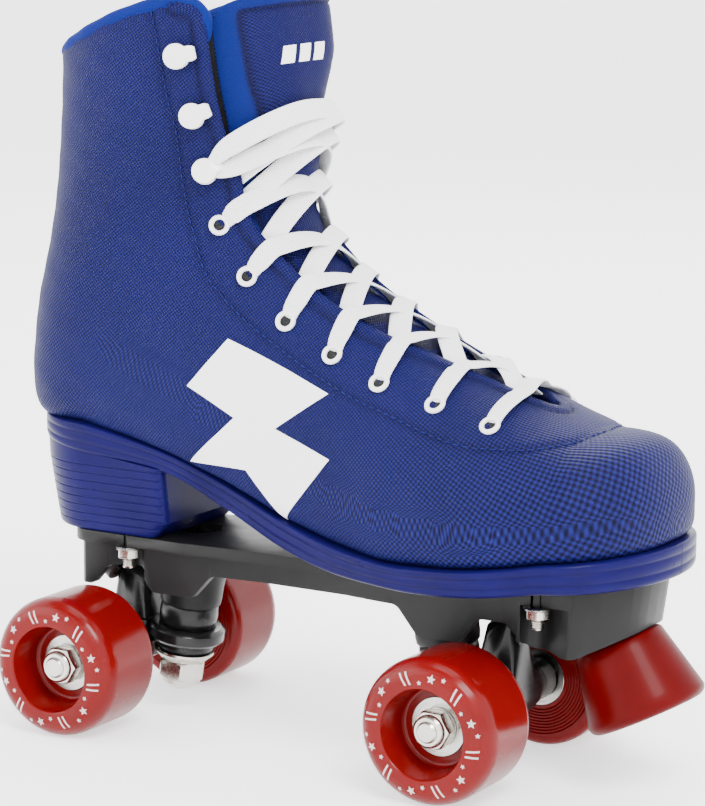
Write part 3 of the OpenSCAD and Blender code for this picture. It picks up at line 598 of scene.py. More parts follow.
def upper():
    """Vamp and quarters in one stitched skin, with a hemmed throat, a back strip and a black lining."""
    us = upper_rows()
    coarse_u, patterns = flat_pattern(us)
    line_u, line_a = eyestay_line(500)
    throat_u = np.linspace(THROAT_START, COLLAR, 500)
    points, faces, slots, uvs, seam_shades, tips = [], [], [], [], [], []
    rows, columns = len(us), V_STEPS
    for side, pattern in zip(BOTH, patterns):
        outer, share = half_grid(side, us, 0.0)
        inner, _ = half_grid(side, us, WALL)
        normal = grid_normals(outer) * side
        stitch, hem = (distances(outer.reshape(-1, 3), boot(u, side * a)).reshape(rows, columns)
                       for u, a in ((line_u, line_a), (throat_u, throat_edge(throat_u))))
        width = abs(outer[..., 1]) / MM
        behind = (us[:, None] > 8.6) & (share < 0.3)
        line_at = np.interp(us, line_u, line_a, left=2)[:, None]
        eyestay = np.clip((share - line_at) / 0.02, 0, 1)
        strip = np.where(behind, np.clip((BACK_STRIP - width) / 0.8, 0, 1), 0)
        strip_edge = np.where(behind, bell(width - BACK_STRIP - 0.4, 0.9), 0)
        ripple = 0.16 * np.sin(outer[..., 0] * 240 + outer[..., 2] * 130) * np.sin(outer[..., 2] * 310)
        lift = (0.35 * eyestay + 0.5 * strip + 0.55 * bell(hem - HEM / 2, 2.1) + ripple
                - 0.4 * bell(stitch, 1.7) - 0.6 * bell(hem - HEM, 1.0) - 0.35 * strip_edge)
        outer = outer + normal * (lift * MM)[..., None]
        start = sum(len(p) for p in points)
        points += [outer.reshape(-1, 3), inner.reshape(-1, 3)]
        count = rows * columns
        front = grid_faces(rows, columns, start)
        back = grid_faces(rows, columns, start + count)
        first_open = int(np.argmax(us >= THROAT_START - 1e-6))
        collar_line = [start + (rows - 1) * columns + j for j in range(columns)]
        throat_line = [start + i * columns + columns - 1 for i in range(first_open, rows)]
        rims = [(p, q, q + count, p + count) for line in (collar_line, throat_line)
                for p, q in zip(line, line[1:])]
        tips.append([list(range(start + k * count, start + k * count + columns)) for k in (0, 1)])
        faces += front + back + rims
        slots += [0] * len(front) + [1] * len(back) + [0] * len(rims)
        fine = refine(coarse_u, pattern, us).reshape(-1, 2)
        uvs += [fine, fine]
        # Painted shade in the stitched grooves, in the hem's fold and beside the back strip.
        seam_shade = np.clip(0.4 * bell(stitch, 1.5) + 0.7 * bell(hem - HEM, 1.0) + 0.7 * strip_edge, 0, 1)
        seam_shades += [seam_shade.ravel(), np.zeros(count)]
    faces += [near + far[::-1] for near, far in zip(*tips)]
    slots += [0, 1]
    obj = mesh_object("boot_upper", np.concatenate(points), faces, [BLUE_KNIT, LINING], slots)
    put_uv(obj, np.concatenate(uvs))
    put_attribute(obj, "seam_shade", np.concatenate(seam_shades))
    put_attribute(obj, "plush", np.zeros(len(obj.data.vertices)))
    weld(obj)
    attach(obj, "chassis")
    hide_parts("vamp", "quarters")
    return obj


def tube(name, path, normals, radii, material, flat):
    """A soft roll along path; radii in millimetres, flat squeezes it along the normals."""
    side, up = axes_along(path, normals)
    turns = np.linspace(0, 2 * np.pi, 14, endpoint=False)
    r = (radii * MM)[:, None, None]
    rings = path[:, None] + r * (np.cos(turns)[None, :, None] * side[:, None]
                                 + flat * np.sin(turns)[None, :, None] * up[:, None])
    return loft(name, rings, [material])


def collar_roll():
    """The plush edge over the collar and down both corners of the throat."""
    down = np.linspace(13.9, COLLAR, 40)
    over = np.linspace(-1, 1, 121)[1:-1] * throat_edge(COLLAR)
    u = np.concatenate([down, np.full(len(over), float(COLLAR)), down[::-1]])
    a = np.concatenate([-throat_edge(down), over, throat_edge(down[::-1])])
    path = boot(u, a, 2.0)
    keep = np.concatenate([[True], np.linalg.norm(np.diff(path, axis=0), axis=1) > 2e-4])
    path, u, a = path[keep], u[keep], a[keep]
    relax(path, 6)
    along = lengths_along(path)
    taper = np.clip(np.minimum(along, along[-1] - along) / 0.008, 0.02, 1) ** 0.5
    radius = 2.75 * taper * (1 + 0.04 * np.sin(along * 420))
    obj = tube("collar_edge", path, outward(u, a), radius, PLUSH, flat=0.95)
    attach(obj, "chassis")


def stitching():
    """Threads that stand a little above the eyestay's groove, on both sides."""
    points, faces = [], []
    ring = [(math.cos(k * math.pi / 3), math.sin(k * math.pi / 3)) for k in range(6)]
    for side in BOTH:
        u, a = eyestay_line(900)
        centre_line = boot(u, side * a)
        along = lengths_along(centre_line)
        for start in np.arange(0.002, along[-1] - 0.003, 0.0034):
            spot = [np.array([np.interp(start + k * 0.0022, along, centre_line[:, c]) for c in range(3)])
                    for k in (0, 1)]
            here = np.interp(start, along, np.arange(len(u)))
            n = outward(u[int(here)], side * a[int(here)])
            b = np.cross(n, unit(spot[1] - spot[0]))
            base = len(points)
            for share, size, lift in ((0, 0.06, -0.25), (0.2, 0.24, 0.0), (0.8, 0.24, 0.0), (1, 0.06, -0.25)):
                middle = spot[0] + (spot[1] - spot[0]) * share + n * lift * MM
                points += [middle + (b * c + n * s) * size * MM for c, s in ring]
            faces += tube_faces(4, len(ring), base)
    obj = mesh_object("eyestay_stitching", points, faces, [THREAD])
    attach(obj, "chassis")


# ------------------------------------------------------------------ tongue
TONGUE_FROM, TONGUE_TO = 1.1, 14.92
TONGUE_BORDER = 4.6
# How far the tongue and the laces bow out over a straight line between the throat's edges: [row, mm]
BOWS = [(0, 2), (5, 5), (6.27, 9), (7.5, 17), (8.65, 23), (10, 25), (11.3, 26), (12.2, 24), (13, 20),
        (13.7, 19), (15.1, 17)]
FAR_AHEAD = 13


def smooth_step(t):
    t = np.clip(t, 0, 1)
    return t * t * (3 - 2 * t)


def bow_at(u):
    return np.interp(u, *zip(*BOWS))


def bridge(u, c, lift, inset=0.0, sharp=2.0, ahead=0.0):
    """Points over the throat from its right edge (c = -1) to its left (c = 1), bowed out in between."""
    u, c, lift = np.broadcast_arrays(*(np.asarray(v, float) for v in (u, c, lift)))
    edge = throat_edge(np.minimum(u, CORNER_FROM))
    right, left = boot(u, -edge, inset), boot(u, edge, inset)
    out = outward(u, np.ones_like(u))
    left = left + out * (ahead * smooth_step((u - 11.7) / 1.7) * MM)[..., None]
    bow = bow_at(u) * (1 - np.minimum(abs(c), 1.0) ** sharp)
    middle, half = (right + left) / 2, (left - right) / 2
    return middle + half * c[..., None] + out * ((bow + lift) * MM)[..., None]


def tongue():
    """A padded pad that swells out of the throat, with a plush border and a black back."""
    rows, columns = 190, 110
    us = np.linspace(TONGUE_FROM, TONGUE_TO, rows)[:, None]
    phi = np.linspace(0, 2 * np.pi, columns, endpoint=False)[None, :]
    cross = np.sign(np.cos(phi)) * abs(np.cos(phi)) ** 0.8
    top = smooth_step((us - 8.5) / 4)
    tip = np.clip((TONGUE_TO - us) / 0.75, 0, 1)
    narrow = np.sqrt(np.maximum(1 - (1 - tip) ** 2.4, 0.0012))
    reach = 1.16 - 0.2 * top
    c = cross * reach * (0.8 + 0.2 * narrow)
    edge_round = np.sqrt(np.maximum(1 - abs(cross) ** 5, 0))
    thick = np.where(np.sin(phi) > 0, 1.6, -4.2) * edge_round * (0.25 + 0.75 * narrow)
    grid = bridge(us, c, thick - 1.0, 4.6, 2.0 + 1.3 * top, FAR_AHEAD)
    half = np.linalg.norm(bridge(us, 1.0, 0, 5.0) - bridge(us, -1.0, 0, 5.0), axis=-1) / 2 / MM
    across = np.broadcast_to(cross, c.shape) * half * reach * MM
    along = np.broadcast_to(lengths_along(bridge(us[:, 0], 0.0, 0))[:, None], across.shape)
    outline = np.minimum((1 - abs(cross)) * half * reach, (along[-1, 0] - along) / MM)
    front = np.sin(phi) > 0.02
    groove = bell(outline - TONGUE_BORDER, 0.8) * front
    band = np.where(outline < TONGUE_BORDER, 1.0, 0.0) * front
    lift = (0.9 * band * edge_round - 0.8 * groove) * (0.3 + 0.7 * narrow)
    grid = grid + outward(us, np.ones_like(us)) * (lift * MM)[..., None]
    back = np.broadcast_to(np.sin(phi) < -0.1, along.shape)
    faces = tube_faces(rows, columns)
    slots = [int(back[f[0] // columns, f[0] % columns]) for f in faces[:-2]] + [0, 0]
    obj = mesh_object("boot_tongue", grid.reshape(-1, 3), faces, [TONGUE_KNIT, LINING], slots)
    put_uv(obj, np.stack([across, along], axis=-1).reshape(-1, 2))
    put_attribute(obj, "plush", (band * (1 - groove)).ravel())
    # Painted shade in the groove round the plush border.
    put_attribute(obj, "seam_shade", groove.ravel() * 0.8)
    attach(obj, "chassis")
    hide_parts("tongue")


# ------------------------------------------------------------------ lacing
EYELETS = [(1, 0.789), (1.64, 0.775), (2.53, 0.747), (3.7, 0.724), (5, 0.701), (6.27, 0.703), (8.65, 0.713)]
HOOKS = [(11.06, 0.687), (12.6, 0.651), (13.72, 0.62)]
LACE_W, LACE_T = 8.4, 1.15


def lace_place(u, q, lift):
    """Point and outward direction at a place q shares from the throat's middle, negative on the right."""
    gap = 1 - throat_edge(np.minimum(u, CORNER_FROM))
    over = abs(q) < gap
    c = np.clip(q / gap, -1, 1)
    edge = np.sign(np.where(q == 0, 1, q)) * (1 - gap)
    side_n = outward(u, np.where(over, edge, np.where(q < 0, -1 - q, 1 - q)))
    blend = (c ** 2)[:, None]
    n = unit(outward(u, np.ones_like(u)) * (1 - blend) + side_n * blend)
    sharp = 2.0 + 1.3 * smooth_step((u - 8.5) / 4)
    beyond = boot(u, np.where(q < 0, -1 - q, 1 - q))
    point = np.where(over[:, None], bridge(u, c, 0, sharp=sharp), beyond)
    return point + n * (lift * MM)[:, None], n


def lace_strip(stations):
    """One stretch of flat braid through stations (row, share from the middle, lift, width share)."""
    stations = np.asarray(stations, float)
    steps = 12 * (len(stations) - 1) + 1
    way = spline(stations, np.linspace(0, len(stations) - 1, steps))
    path, n = lace_place(np.clip(way[:, 0], -0.9, COLLAR), way[:, 1], way[:, 2])
    relax(path, 3)
    relax(n, 10)
    side, up = axes_along(path, n)
    half_w = (way[:, 3] * LACE_W / 2 * MM)[:, None]
    half_t = (LACE_T / 2 * MM * (1 + 0.9 * (1 - np.clip(way[:, 3], 0, 1))))[:, None]
    outline = [(-1, 0.0), (-0.95, 0.62), (-0.8, 0.9), (-0.4, 1.0), (0, 0.92), (0.4, 1.0), (0.8, 0.9),
               (0.95, 0.62), (1, 0.0), (0.95, -0.62), (0.8, -0.9), (0, -1.0), (-0.8, -0.9), (-0.95, -0.62)]
    return np.stack([path + side * half_w * x + up * half_t * h for x, h in outline], axis=1)


def flip(stations):
    return [(u, -q, lift, w) for u, q, lift, w in stations]


def lace():
    """The whole lace: a bar at the toe, crossings up to the lowest hooks, and two tucked ends."""
    gap = lambda u: 1 - float(throat_edge(u))
    reach = [1 - a for _, a in EYELETS]
    at = [u for u, _ in EYELETS]
    hook_u, hook_q = HOOKS[0][0], 1 - HOOKS[0][1]
    half_bar = [(at[0], -reach[0], -2.0, 0.6), (at[0] - 0.01, -reach[0] + 0.03, 1.3, 0.78),
                (at[0] - 0.03, -gap(at[0]) - 0.03, 1.6, 1)]
    strips = [half_bar + [(at[0] - 0.06, 0, 2.6, 1)] + flip(half_bar)[::-1]]
    for i in range(len(at) - 1):
        step = at[i + 1] - at[i]
        g0, g1 = gap(at[i] + 0.15 * step), gap(at[i + 1])
        for mirror_it, cross_lift in ((True, 1.0), (False, 2.3)):
            way = [(at[i] + 0.08 * step, -g0 - 0.03, -4.6, 1), (at[i] + 0.12 * step, -g0 + 0.012, -1.6, 1),
                   (at[i] + 0.5 * step, 0, cross_lift, 1), (at[i + 1] - 0.14 * step, g1 * 0.8, 1.5, 1),
                   (at[i + 1] - 0.01 * step, g1 + 0.006, 1.5, 1),
                   (at[i + 1], (g1 + reach[i + 1]) / 2, 1.2, 0.95),
                   (at[i + 1], reach[i + 1] - 0.02, 0.9, 0.8), (at[i + 1], reach[i + 1], -2.0, 0.6)]
            strips.append(flip(way) if mirror_it else way)
    low_gap = gap(at[-1])
    for mirror_it, cross_lift, late in ((True, 1.2, 0.3), (False, 2.6, 0.05)):
        up_to_hook = [(at[-1] + 0.2, -low_gap - 0.03, -4.2, 1), (at[-1] + 0.35, -low_gap + 0.03, -0.6, 1),
                      (at[-1] + 1.2, 0, cross_lift, 1), (hook_u - 0.6, gap(hook_u) * 0.75, 1.8, 1),
                      (hook_u - 0.35, gap(hook_u) + 0.008, 1.8, 0.9),
                      (hook_u - 0.14, hook_q - 0.012, 2.1, 0.5)]
        to_end = [(hook_u + 0.14, hook_q - 0.012, 2.1, 0.5), (hook_u + 0.38, gap(hook_u) + 0.008, 2.4, 0.95),
                  (hook_u + 0.1 + late, gap(hook_u) * 0.6, 1.0 + cross_lift, 1),
                  (hook_u - 0.35 + 2 * late, 0, 1.0 + cross_lift, 1),
                  (hook_u - 0.75 + 3.2 * late, -gap(hook_u) * 0.75, 1.6, 1),
                  (hook_u - 0.85 + 3.4 * late, -gap(hook_u) - 0.012, -4.0, 1)]
        strips += [flip(w) if mirror_it else w for w in (up_to_hook, to_end)]
    points, faces, uvs = [], [], []
    base = 0
    for grid in map(lace_strip, strips):
        rows, columns = grid.shape[:2]
        faces += tube_faces(rows, columns, base)
        uvs.append(tube_uv(grid))
        points.append(grid.reshape(-1, 3))
        base += rows * columns
    obj = mesh_object("boot_lace", np.concatenate(points), faces, [LACE])
    put_uv(obj, np.concatenate(uvs))
    modify(obj, "SUBSURF", levels=1, render_levels=1)
    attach(obj, "chassis")
    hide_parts("lace")


def on_boot(u, a, lift=0.0):
    """A matrix on the boot with Z outward and X towards the throat."""
    place, n = boot(u, a), outward(u, a)
    ahead = boot(u, a + math.copysign(0.02, a)) - place
    return axes_at(place + n * lift * MM, n, ahead)


def join(name, objects):
    bpy.ops.object.select_all(action="DESELECT")
    for o in objects:
        o.select_set(True)
    bpy.context.view_layer.objects.active = objects[0]
    bpy.ops.object.join()
    objects[0].name = name
    return objects[0]


def eyelets():
    ring = arc(3.05, 0.55, 0.95, 0, 360, 14)[:-1]
    # Each eyelet's hole is a dark disc: the black lining that shows through it, darkened further as painted
    # shade.
    shade_plug = [(0.001, -0.9), (2.5, -0.9), (2.5, 0.25), (0.001, 0.05)]
    rings, holes = [], []
    for u, a in EYELETS:
        for side in BOTH:
            place = on_boot(u, side * a, 0.35)
            rings.append(revolve("eyelet", ring, place, [ENAMEL], steps=36))
            holes.append(revolve("hole", shade_plug, place, [HOLE_SHADE], steps=20))
    obj = join("boot_eyelets", rings + holes)
    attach(obj, "chassis")
    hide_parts("eyelets")


def hook_top():
    """Outline of a hook's cap: a disc with a square nose towards the throat."""
    radius, nose = 4.75, 2.9
    first = math.degrees(math.asin(nose / radius))
    corner = [(5.6, nose), (6.6, nose * 0.9), (7.3, nose * 0.72)]
    return arc(0, 0, radius, first, 360 - first, 34) + [(x, -y) for x, y in corner] + corner[::-1]


def lace_hooks():
    """Each hook is a round foot and post under a flat cap whose nose bends down."""
    outline = hook_top()
    levels = [(2.9, 0.93), (3.1, 1.0), (3.9, 1.0), (4.25, 0.95), (4.4, 0.8), (4.45, 0.4)]
    foot = [(0.001, -0.4), (4.4, -0.4), (4.5, 0.3), (4.1, 0.7), (2.2, 0.8), (2.0, 1.4), (2.0, 3.2),
            (0.001, 3.2)]
    made = []
    for u, a in HOOKS:
        for side in BOTH:
            place = on_boot(u, side * a, 0.3)
            points = [place @ Vector((x * k, y * k, h - 0.35 * max(x * k - 4.2, 0) ** 1.25))
                      for h, k in levels for x, y in outline]
            made.append(mesh_object("cap", points, tube_faces(len(levels), len(outline)), [ENAMEL]))
            made.append(revolve("foot", foot, place, [ENAMEL], steps=32))
    obj = join("boot_hooks", made)
    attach(obj, "chassis")
    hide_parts("lace_hooks")


# ------------------------------------------------------------------ prints
def fill_outline(outline, step):
    """A flat outline filled with small triangles no longer than step."""
    shape = bmesh.new()
    shape.faces.new([shape.verts.new((x, y, 0)) for x, y in outline])
    bmesh.ops.triangulate(shape, faces=shape.faces)
    for _ in range(7):
        long_edges = [e for e in shape.edges if e.calc_length() > step]
        if not long_edges:
            break
        bmesh.ops.subdivide_edges(shape, edges=long_edges, cuts=1)
        bmesh.ops.triangulate(shape, faces=shape.faces)
        bmesh.ops.beautify_fill(shape, faces=shape.faces, edges=shape.edges)
    bmesh.ops.recalc_face_normals(shape, faces=shape.faces)
    return shape


def film(name, outlines, step, place, thickness, material):
    """Thin printed shapes: place(x, y, lift) puts a flat point on the surface, in metres."""
    points, faces = [], []
    for outline in outlines:
        shape = fill_outline(outline, step)
        shape.verts.ensure_lookup_table()
        base, count = len(points), len(shape.verts)
        flat = [(v.co.x, v.co.y) for v in shape.verts]
        points += [place(x, y, thickness) for x, y in flat] + [place(x, y, -thickness) for x, y in flat]
        corners = [[v.index for v in f.verts] for f in shape.faces]
        faces += [tuple(base + k for k in f) for f in corners]
        faces += [tuple(base + count + k for k in f[::-1]) for f in corners]
        faces += [(base + e.verts[0].index, base + e.verts[1].index, base + count + e.verts[1].index,
                   base + count + e.verts[0].index) for e in shape.edges if e.is_boundary]
        shape.free()
    return mesh_object(name, points, faces, [material], sharp=50)


# A plain bolt seen from the side, in millimetres: (x from the wheelbase's middle, z)
SIDE_MARK = [(-19, 156), (26, 140), (4, 125), (30, 117), (8, 91), (-9, 108), (-36, 108), (-15, 127),
             (-36, 137)]


def cast(surface, start, direction, lift):
    """Where a ray meets a surface, moved lift millimetres off it on the ray's side."""
    hit, normal, _, _ = surface.ray_cast(start, direction)
    return hit + normal * (-lift if normal.dot(direction) > 0 else lift) * MM


def side_marks(skin):
    """A generic bolt on each side of the boot, lying on the cloth."""
    surface = BVHTree.FromObject(skin, bpy.context.evaluated_depsgraph_get())
    for side, name in zip(BOTH, ("right", "left")):
        def place(x, z, lift):
            start = Vector(((x + MIDDLE_X) * MM, side * 0.2, z * MM))
            return cast(surface, start, Vector((0, -side, 0)), 0.12 + lift)
        obj = film(f"side_print_{name}", [SIDE_MARK], 2.2, place, 0.16, PRINT)
        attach(obj, "chassis")


def tongue_label():
    """Three plain slanted bars in place of a name on the tongue."""
    bars = []
    for k in range(3):
        x = -10.5 + 7.4 * k
        bars.append([(x, -3.2), (x + 5.2, -3.2), (x + 6.6, 3.2), (x + 1.4, 3.2)])
    skin = bpy.data.objects["boot_tongue"]
    surface = BVHTree.FromObject(skin, bpy.context.evaluated_depsgraph_get())
    ground = bridge(13.3, -0.1, 0)
    up = Vector(bridge(13.8, -0.1, 0) - ground).normalized()
    out = Vector(outward(13.3, 1.0))
    out = (out - up * out.dot(up)).normalized()
    across = out.cross(up)

    def place(x, y, lift):
        start = Vector(ground) + across * -x * MM + up * y * MM + out * 0.03
        return cast(surface, start, -out, 0.15 + lift)
    obj = film("tongue_label", bars, 1.2, place, 0.15, PRINT)
    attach(obj, "chassis")


def star(cx, cy, radius, turn):
    return [(cx + r * math.cos(math.radians(turn + 36 * k)), cy + r * math.sin(math.radians(turn + 36 * k)))
            for k, r in enumerate([radius, radius * 0.45] * 5)]


def wheel_marks(end, side):
    """Generic stars and ticks round a wheel's outer face, on its shoulder."""
    low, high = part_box(f"{end}_{side}_wheel")
    middle = (low + high) / 2
    sign = 1 if side == "left" else -1
    width, radius = (high.y - low.y) / MM, (high.z - low.z) / 2 / MM
    face_r, shoulder = 20, 8

    def place(x, z, lift):
        rounded = min(max((math.hypot(x, z) - face_r) / (radius - face_r), 0), 1)
        drop = shoulder * (1 - math.sqrt(1 - rounded ** 2))
        return middle + Vector((x, sign * (width / 2 - drop + lift), z)) * MM

    outlines = []
    tick = ((18.4, -0.5), (23.2, 3), (23.2, 4.6), (18.4, 1.6))
    for k in range(6):
        turn = 60 * k + 20
        spot = lambda r, d: (r * math.cos(math.radians(turn + d)), r * math.sin(math.radians(turn + d)))
        outlines.append(star(*spot(21.2, 0), 1.75, turn))
        outlines.append(star(*spot(19.0, 13), 0.95, turn + 20))
        outlines.append(star(*spot(22.6, -12), 0.95, turn))
        outlines += [[spot(r, d + late) for r, late in tick] for d in (24, 30)]
    obj = film(f"{end}_{side}_wheel_print", outlines, 0.9, place, 0.035, WHEEL_PRINT)
    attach(obj, f"{end}_{side}_wheel")


# ------------------------------------------------------------------ sole and heel
# [x, half width, shift in Y, top z, bottom z]
SOLE_PLAN = [[-87, 32, 0, 114, 105.6], [-50, 31, 0, 107.2, 101.6], [-22, 32, 0, 98.8, 91],
             [6, 36.5, -1, 89.4, 80.6], [30, 42, -1.5, 84, 75.6], [55, 46.5, -2, 81.2, 74.1],
             [72, 49, -1.5, 81.6, 74], [90, 50, -1, 83.1, 75.2], [104, 49.4, 0, 85.2, 77],
             [118, 46.8, 0, 87.8, 79.2]]
HEEL_X, _, _, HEEL_TOP, HEEL_LOW = SOLE_PLAN[0]
TOE_X, TOE_HALF, _, TOE_TOP, TOE_LOW = SOLE_PLAN[-1]
HEEL_R, TOE_R = 32, 32
HEEL_SLOPE = (HEEL_LOW - SOLE_PLAN[1][4]) / (SOLE_PLAN[1][0] - HEEL_X)
# Shares of the sole's stations where the heel's arc ends and the toe's begins
HEEL_END, TOE_START = 0.22, 0.78
# Side of the sole: [share of its height from the top, inset]
SOLE_SIDE = [(0, 1.2), (0.03, 0.4), (0.08, 0.05), (0.16, 0), (0.27, 0), (0.3, 0.5), (0.33, 0), (0.5, 0),
             (0.64, 0.05), (0.67, 0.5), (0.7, 0.05), (0.86, 0.1), (0.95, 0.5), (1, 1.4)]
# How far the sole's edge stands above its plan, and how much more it climbs to at the heel
RIM, RIM_HEEL = 1.6, 1.4
CLIMB_FROM, CLIMB_RUN = -20, 60


def sole_station(s, inset):
    """Half plan of the sole at s from 0 at the heel to 1 at the toe, for an outline set in by inset."""
    if s < HEEL_END:
        c = math.cos(s / HEEL_END * math.pi / 2)
        r = HEEL_R - inset
        return (HEEL_X - r * c, r * math.sqrt(max(1 - c * c, 1e-5)), 0, HEEL_TOP + 1.6 * c * c,
                HEEL_LOW + HEEL_SLOPE * HEEL_R * c)
    if s > TOE_START:
        t = math.sin((s - TOE_START) / (1 - TOE_START) * math.pi / 2)
        return (TOE_X + (TOE_R - inset) * t, (TOE_HALF - inset) * math.sqrt(max(1 - t ** 1.9, 1e-5)), 3 * t,
                TOE_TOP + 3 * t, TOE_LOW + 1.2 * t)
    x, width, *rest = spline(SOLE_PLAN, (s - HEEL_END) / (TOE_START - HEEL_END) * (len(SOLE_PLAN) - 1))
    return (x, width - inset, *rest)


def outsole():
    rings = []
    for s in np.concatenate([np.linspace(0.0002, HEEL_END, 30), np.linspace(HEEL_END, TOE_START, 90)[1:],
                             np.linspace(TOE_START, 0.9998, 40)[1:]]):
        right, left = [], []
        for drop, inset in SOLE_SIDE:
            x, w, y, top, foot = sole_station(s, inset)
            rim = top + RIM + RIM_HEEL * min(max((CLIMB_FROM - x) / CLIMB_RUN, 0), 1)
            z = rim + (foot - rim) * drop
            right.append(((x + MIDDLE_X) * MM, (y - w) * MM, z * MM))
            left.append(((x + MIDDLE_X) * MM, (y + w) * MM, z * MM))
        rings.append(right + left[::-1])
    obj = weld(loft("boot_sole", rings, [SOLE]), 2e-5)
    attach(obj, "chassis")
    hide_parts("outsole")


HEEL_FRONT, HEEL_CHAMFER, HEEL_ROOF = -51, 6.4, 106.2


def heel():
    """Stacked heel with fine lines round it and a chamfered lower front edge."""
    lines = [3.6 + 3.3 * k for k in range(8)]
    levels = sorted({0.0, 0.5, 1.2, 2.2, 30.0} | {line + d for line in lines for d in (-0.32, 0, 0.32)})
    corner = [(3, 2.6), (2.6, 1.2), (1.6, 0.35)]
    rings = []
    for z in levels:
        base = 0.6 + 4.8 * (1 - z / 32) ** 1.1 + 0.6 * max(1 - z / 1.2, 0) ** 2
        groove = 0.42 if any(abs(z - line) < 1e-6 for line in lines) else 0
        r = HEEL_R - (base + groove)
        front = HEEL_FRONT - max(HEEL_CHAMFER - z, 0)
        left_corner = [(front - 3 + c, r - d) for c, d in corner]
        outline = [(HEEL_X + r * math.cos(math.radians(t)), r * math.sin(math.radians(t)))
                   for t in np.linspace(90, 270, 45)]
        outline += [(x, -r) for x in np.linspace(HEEL_X + 3, front - 3, 14)]
        outline += [(x, -y) for x, y in left_corner[::-1]]
        outline += [(front, y) for y in np.linspace(4 - r, r - 4, 12)]
        outline += left_corner + [(x, r) for x in np.linspace(front - 3, HEEL_X + 3, 14)]
        ring = []
        for x, y in outline:
            roof = HEEL_ROOF - HEEL_SLOPE * (x - HEEL_X)
            high = roof if z == levels[-1] else min(HEEL_FOOT + z, roof)
            ring.append(((x + MIDDLE_X) * MM, y * MM, high * MM))
        rings.append(ring)
    obj = loft("boot_heel", rings, [SOLE], sharp=40)
    modify(obj, "BEVEL", width=0.0003, segments=2, limit_method="ANGLE", angle_limit=math.radians(45))
    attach(obj, "chassis")
    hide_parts("heel_block")


# ------------------------------------------------------------------ trucks
# The ring's middle lies this far behind and above the axle
KINGPIN_LEAN, RING_IN, RING_UP = 8.3, 21.5, 5
# Heights along the kingpin from the ring's middle, and the radius of the hole for the pin
BOSS_FOOT, RING_HALF, WASHER_TOP = 12.2, 3.25, -9.85
PIN_R = 5.1


def kingpin_place(end):
    """A matrix at the middle of a hanger's ring, with Z up the kingpin, scaled to millimetres."""
    sign = 1 if end == "front" else -1
    axle = centre(f"{end}_axle")
    lean = math.radians(KINGPIN_LEAN)
    up = Vector((-sign * math.sin(lean), 0, math.cos(lean)))
    return axes_at(axle + Vector((-sign * RING_IN, 0, RING_UP)) * MM, up, (1, 0, 0))


def cushions(end):
    """Both urethane cushions, turned round the kingpin above and below the hanger's ring."""
    place = kingpin_place(end)
    gap = 0.02
    low, high = RING_HALF + gap, BOSS_FOOT - gap
    top, foot = -RING_HALF - gap, WASHER_TOP + gap
    barrel = [(10.6, low), (11.25, low + 0.7), (11.55, (low + high) / 2), (11.25, high - 0.7), (10.6, high)]
    cone = [(8.5, foot), (10.5, foot + 2.75), (11.2, -6), (11.3, -4.2), (10.8, top)]
    for level, outline, fixed, moving in (("upper", barrel, high, low), ("lower", cone, foot, top)):
        profile = [(PIN_R, outline[0][1])] + outline + [(PIN_R, outline[-1][1])]
        obj = revolve(f"{end}_{level}_bushing", profile, place, [CUSHION], steps=64, sharp=40)
        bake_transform(obj)
        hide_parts(f"{end}_{level}_cushion")


def bolt_threads():
    """Turned threads on the four mounting bolts."""
    made = []
    low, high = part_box("plate_bolts")
    pitch, outer, root = 0.8, 2.5, 2.12
    for x, spread in ((low.x + outer * MM, 24.5), (high.x - outer * MM, 25)):
        for y in BOTH:
            profile = [(0.001, low.z / MM), (root, low.z / MM)]
            z = low.z / MM + 0.3
            while z < high.z / MM - 5:
                profile += [(outer, z + pitch / 2), (root, z + pitch)]
                z += pitch
            profile += [(1.8, z), (1.8, high.z / MM), (0.001, high.z / MM)]
            place = Matrix.Translation((x, y * spread * MM, 0)) @ Matrix.Scale(MM, 4)
            bolt = revolve("bolt", profile, place, [ZINC, NYLON], steps=28, sharp=50)
            for face in bolt.data.polygons:
                face.material_index = int(face.center.z / MM > z - 0.2)
            made.append(bolt)
    obj = join("plate_bolt_threads", made)
    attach(obj, "chassis")
    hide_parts("plate_bolts")


# ------------------------------------------------------------------ CAD nodes that stay
LOOKS = [("_wheel", URETHANE), ("hanger", GLOSS_BLACK), ("pivot_cup", CUP), ("bearing", STEEL),
         ("footbed", LINING), ("toe_stop_bolt", ZINC), ("toe_stop_nut", ZINC), ("toe_stop", STOP_RED),
         ("plate_nuts", ZINC), ("plate", NYLON)]
BEVELS = {"plate": 0.0007, "hanger": 0.0006, "nut": 0.00025, "toe_stop": 0.0003}


def dress_cad_nodes():
    """Gives each CAD node that stays its material, smooth shading and small bevels."""
    for name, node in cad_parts.items():
        if node.hide_render:
            continue
        look = next((m for key, m in LOOKS if key in name), ZINC)
        node.data.materials.clear()
        node.data.materials.append(look)
        shade(node.data, 32)
        width = next((w for key, w in BEVELS.items() if key in name), None)
        if width:
            modify(node, "WELD", merge_threshold=1e-6)
            modify(node, "BEVEL", width=width, segments=2, limit_method="ANGLE", angle_limit=math.radians(35))


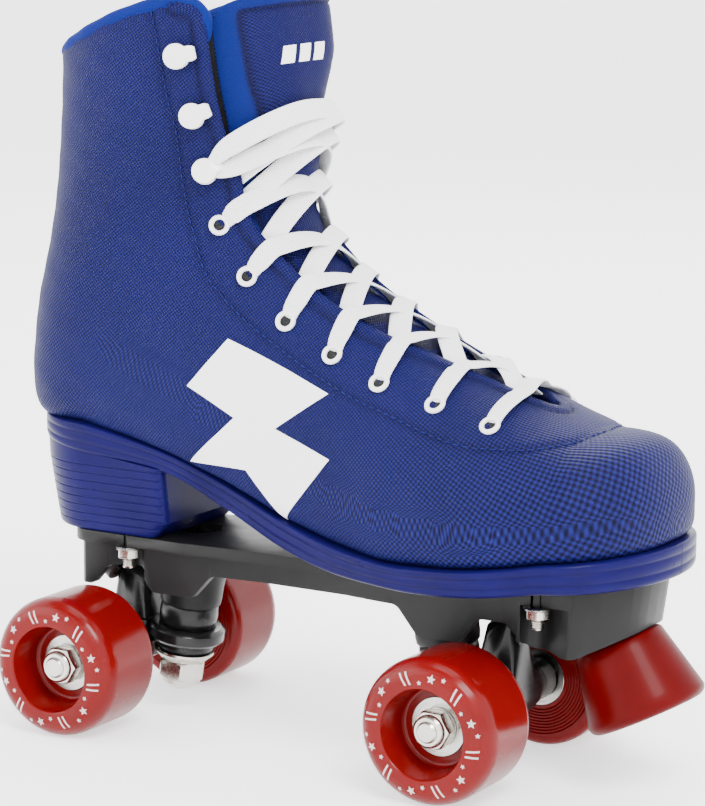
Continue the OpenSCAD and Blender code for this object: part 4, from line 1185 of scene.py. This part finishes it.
# ------------------------------------------------------------------ stage
def stage():
    """A pale floor that curves up into a round backdrop."""
    flat_r, bend_r, top = 2.4, 1.2, 4.5
    profile = [(0.0, 0.0), (1.0, 0.0)] + arc(flat_r, bend_r, bend_r, -90, 0, 9) + [(flat_r + bend_r, top)]
    steps = 96
    points = [(r * math.cos(2 * math.pi * k / steps), r * math.sin(2 * math.pi * k / steps), z)
              for r, z in profile for k in range(steps)]
    pale = moulded("studio_floor", (0.88, 0.88, 0.88), 0.9, speck=0.004, shine=0.1)
    glow = next(n for n in pale.node_tree.nodes if n.type == "BSDF_PRINCIPLED")
    glow.inputs["Emission Color"].default_value = (1, 1, 1, 1)
    glow.inputs["Emission Strength"].default_value = 1.1
    floor = weld(mesh_object("studio_floor", points, grid_faces(len(profile), steps, wrap=True), [pale]))


# [name, place, diameter, watts]
LAMPS = [("key", (1.0, -0.8, 1.6), 0.9, 54), ("fill", (-1.5, -1.3, 0.9), 1.6, 20),
         ("rim", (-0.5, 1.5, 1.4), 1.2, 26), ("top", (0, 0, 2.0), 1.2, 22)]


def lights():
    """Four round lamps that face the boot, and a white surround."""
    aim = Vector((0, 0, 0.13))
    for name, place, size, watts in LAMPS:
        data = bpy.data.lights.new(name, "AREA")
        data.shape, data.size, data.energy = "DISK", size, watts
        obj = add_object(name, data)
        obj.location = place
        obj.rotation_euler = (aim - Vector(place)).to_track_quat("-Z", "Y").to_euler()
    world = bpy.data.worlds.new("studio")
    bpy.context.scene.world = world
    world.use_nodes = True
    surround = world.node_tree.nodes["Background"].inputs
    surround["Color"].default_value = (1, 1, 1, 1)
    surround["Strength"].default_value = 0.55


def camera():
    """The photograph's own viewpoint, from a perspective fit."""
    place = Vector(((559.99 + MIDDLE_X) * MM, -931.65 * MM, 321.92 * MM))
    yaw, pitch, roll = math.radians(120.32), math.radians(10.07), math.radians(0.58)
    ahead = Vector((math.cos(pitch) * math.cos(yaw), math.cos(pitch) * math.sin(yaw), -math.sin(pitch)))
    right = ahead.cross(Vector((0, 0, 1))).normalized()
    up = right.cross(ahead)
    right, up = (right * math.cos(roll) + up * math.sin(roll), up * math.cos(roll) - right * math.sin(roll))
    data = bpy.data.cameras.new("photo_view")
    data.lens, data.sensor_width, data.sensor_fit = 130.37, 36, "AUTO"
    data.clip_start, data.clip_end = 0.05, 20
    obj = add_object("photo_view", data)
    obj.matrix_world = Matrix.Translation(place) @ Matrix((right, up, -ahead)).transposed().to_4x4()
    bpy.context.scene.camera = obj


camera()
stage()
lights()
skin = upper()
collar_roll()
stitching()
tongue()
lace()
eyelets()
lace_hooks()
side_marks(skin)
tongue_label()
outsole()
heel()
for end in ENDS:
    cushions(end)
    for side in SIDES:
        wheel_marks(end, side)
bolt_threads()
dress_cad_nodes()
